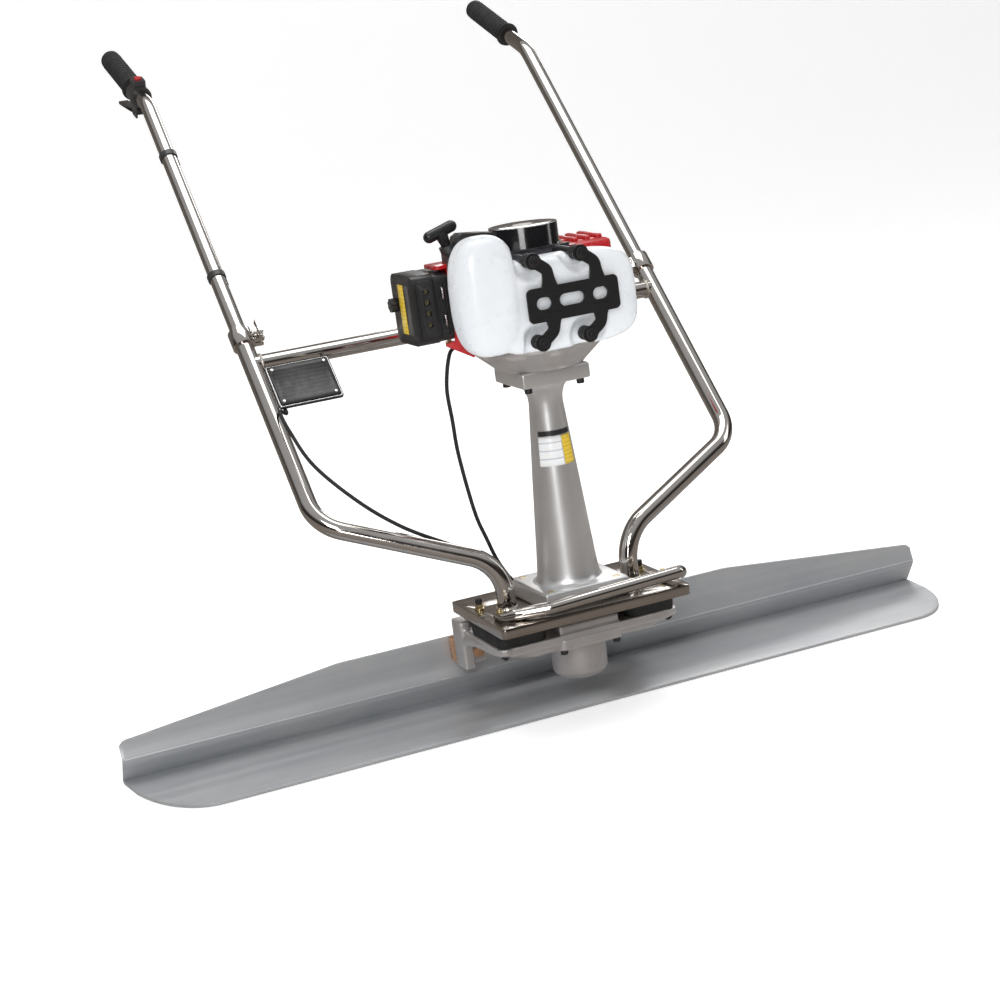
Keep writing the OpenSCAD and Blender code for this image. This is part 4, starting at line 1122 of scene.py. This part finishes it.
# edge radius by node, and for every node not listed
EDGE_MM = {
    "base_plate": 1.2, "clutch_housing": 1.0, "engine_shroud": 1.6, "muffler_cover": 1.4,
    "air_cleaner_cover": 1.6, "air_cleaner_base": 1.0, "starter_housing": 1.0, "rope_guide": 1.2,
    "starter_grip": 0.8, "spacer_blocks": 0.8, "crankcase": 1.0, "muffler": 1.0,
    "handle_collars": 0.25, "throttle_lever": 1.5, "throttle_mount": 1.0, "carburettor": 0.6,
    "name_plate": 0.3,
}
PLAIN_EDGE_MM = 0.4


def dress_cad():
    """Every CAD node gets its slot's material, and if it stays visible, finished edges."""
    slots = {s["node"]: s["material_slot"] for s in frame["record"]["subparts"]}
    for node, obj in frame["nodes"].items():
        material = MATS[slots[node]]
        if not obj.data.materials:
            obj.data.materials.append(material)
        for s in obj.material_slots:
            s.material = material
        if not obj.hide_render:
            finish_edges(obj, EDGE_MM.get(node, PLAIN_EDGE_MM))


# ---------------------------------------- stage

# the viewing angle in degrees, the point looked at and its distance in metres, the lens in mm
AZIMUTH, ELEVATION, ROLL = -20.71, 12.97, -7.87
TARGET = Vector((-0.0814, 0, 0.2962))
DISTANCE = 2.8162
LENS = 78.31


def camera():
    """From the front and left, a little above, slightly rolled."""
    az, el, roll = (math.radians(a) for a in (AZIMUTH, ELEVATION, ROLL))
    back = Vector((math.sin(az) * math.cos(el), -math.cos(az) * math.cos(el), math.sin(el)))
    right = (-back).cross(Vector((0, 0, 1))).normalized()
    up = right.cross(-back)
    side = right * math.cos(roll) + up * math.sin(roll)
    top = up * math.cos(roll) - right * math.sin(roll)
    data = bpy.data.cameras.new("camera")
    data.lens = LENS
    data.sensor_width = 36
    cam = add_object("camera", data)
    cam.matrix_world = Matrix.Translation(TARGET + back * DISTANCE) @ Matrix(
        (side, top, back)).transposed().to_4x4()
    bpy.context.scene.camera = cam


def softbox(name, spot, aim, size, power):
    """A rectangular area light at spot, turned towards aim."""
    data = bpy.data.lights.new(name, "AREA")
    data.shape = "RECTANGLE"
    data.size, data.size_y = size
    data.energy = power
    light = add_object(name, data)
    light.location = spot
    light.rotation_euler = (Vector(aim) - Vector(spot)).to_track_quat("-Z", "Y").to_euler()


def floor():
    """A pale floor that curves up behind the object."""
    n = Nodes("floor_white")
    # polished metal sees a darker room than the camera does
    mirrored = n.add("ShaderNodeLightPath").outputs["Is Glossy Ray"]
    pale = n.mix(n.span(n.noise(0.8, 3), 0, 1), rgb(0.86, 0.86, 0.86), rgb(0.88, 0.88, 0.88))
    n.set(Base_Color=n.mix(mirrored, pale, rgb(0.22, 0.195, 0.175)), Roughness=0.75)
    n.set(Emission_Color=n.mix(mirrored, rgb(1, 1, 1), rgb(0.10, 0.09, 0.08)),
          Emission_Strength=0.45)
    # (y, z) along the floor, up the curve and up the wall, in metres
    turn_y, turn_r, half_width, gap = 3.4, 1.6, 9, 0.0006
    path = [(-6.0, 0), (turn_y, 0)]
    path += [(turn_y + turn_r * math.sin(a), turn_r - turn_r * math.cos(a))
             for a in (math.radians(6 * k) for k in range(1, 16))]
    path += [(turn_y + turn_r, 7.0)]
    verts = [Vector((x, y, z - gap)) for y, z in path for x in (-half_width, half_width)]
    faces = [(2 * i, 2 * i + 1, 2 * i + 3, 2 * i + 2) for i in range(len(path) - 1)]
    make("floor", verts, faces, n.mat)


def studio():
    """Five softboxes, and a room that metal sees as dark bands and the camera as white."""
    softbox("key", (-1.7, -2.9, 2.3), (0, 0, 0.35), (1.2, 1.5), 52)
    softbox("fill", (2.9, -0.9, 1.7), (0, 0, 0.35), (0.6, 2.0), 8)
    softbox("top", (0.2, 0.4, 3.4), (0, 0, 0.2), (2.6, 1.8), 42)
    softbox("strip", (-1.75, -3.4, 0.75), (0, 0, 0.35), (0.3, 1.2), 11)
    softbox("rim", (1.6, 2.6, 1.9), (0, 0, 0.5), (1.6, 0.8), 18)
    world = bpy.data.worlds.new("studio")
    bpy.context.scene.world = world
    world.use_nodes = True
    tree = world.node_tree
    link = tree.links.new
    sky = tree.nodes["Background"]
    coord = tree.nodes.new("ShaderNodeTexCoord")
    split = tree.nodes.new("ShaderNodeSeparateXYZ")
    ramp = tree.nodes.new("ShaderNodeValToRGB")
    low, high = ramp.color_ramp.elements
    low.position, low.color = 0.46, (0.42, 0.38, 0.34, 1)
    high.position, high.color = 1.0, (1.0, 1.0, 1.0, 1)
    for position, colour in ((0.54, (0.06, 0.05, 0.045, 1)), (0.68, (0.12, 0.11, 0.10, 1)),
                             (0.78, (0.85, 0.86, 0.88, 1))):
        ramp.color_ramp.elements.new(position).color = colour
    shift = tree.nodes.new("ShaderNodeMapRange")
    shift.inputs["From Min"].default_value = -1
    link(coord.outputs["Generated"], split.inputs[0])
    link(split.outputs["Z"], shift.inputs["Value"])
    link(shift.outputs[0], ramp.inputs[0])
    # beyond the floor the camera itself sees white
    seen = tree.nodes.new("ShaderNodeLightPath")
    tint = tree.nodes.new("ShaderNodeMix")
    tint.data_type = "RGBA"
    link(seen.outputs["Is Camera Ray"], tint.inputs[0])
    link(ramp.outputs[0], tint.inputs[6])
    tint.inputs[7].default_value = (1.95, 1.95, 1.95, 1)
    link(tint.outputs[2], sky.inputs["Color"])
    sky.inputs["Strength"].default_value = 0.5


blade_sheet()
vibrator_casting()
housing_casting()
handle_tubes()
upper_tubes()
guard_bar()
fuel_tank()
fuel_cap()
tank_guard()
column()
throttle_cable()
starter_rope()
rubber_pads()
hand_grips()
details()
dress_cad()
floor()
studio()
camera()
bpy.context.scene.view_settings.view_transform = "Standard"
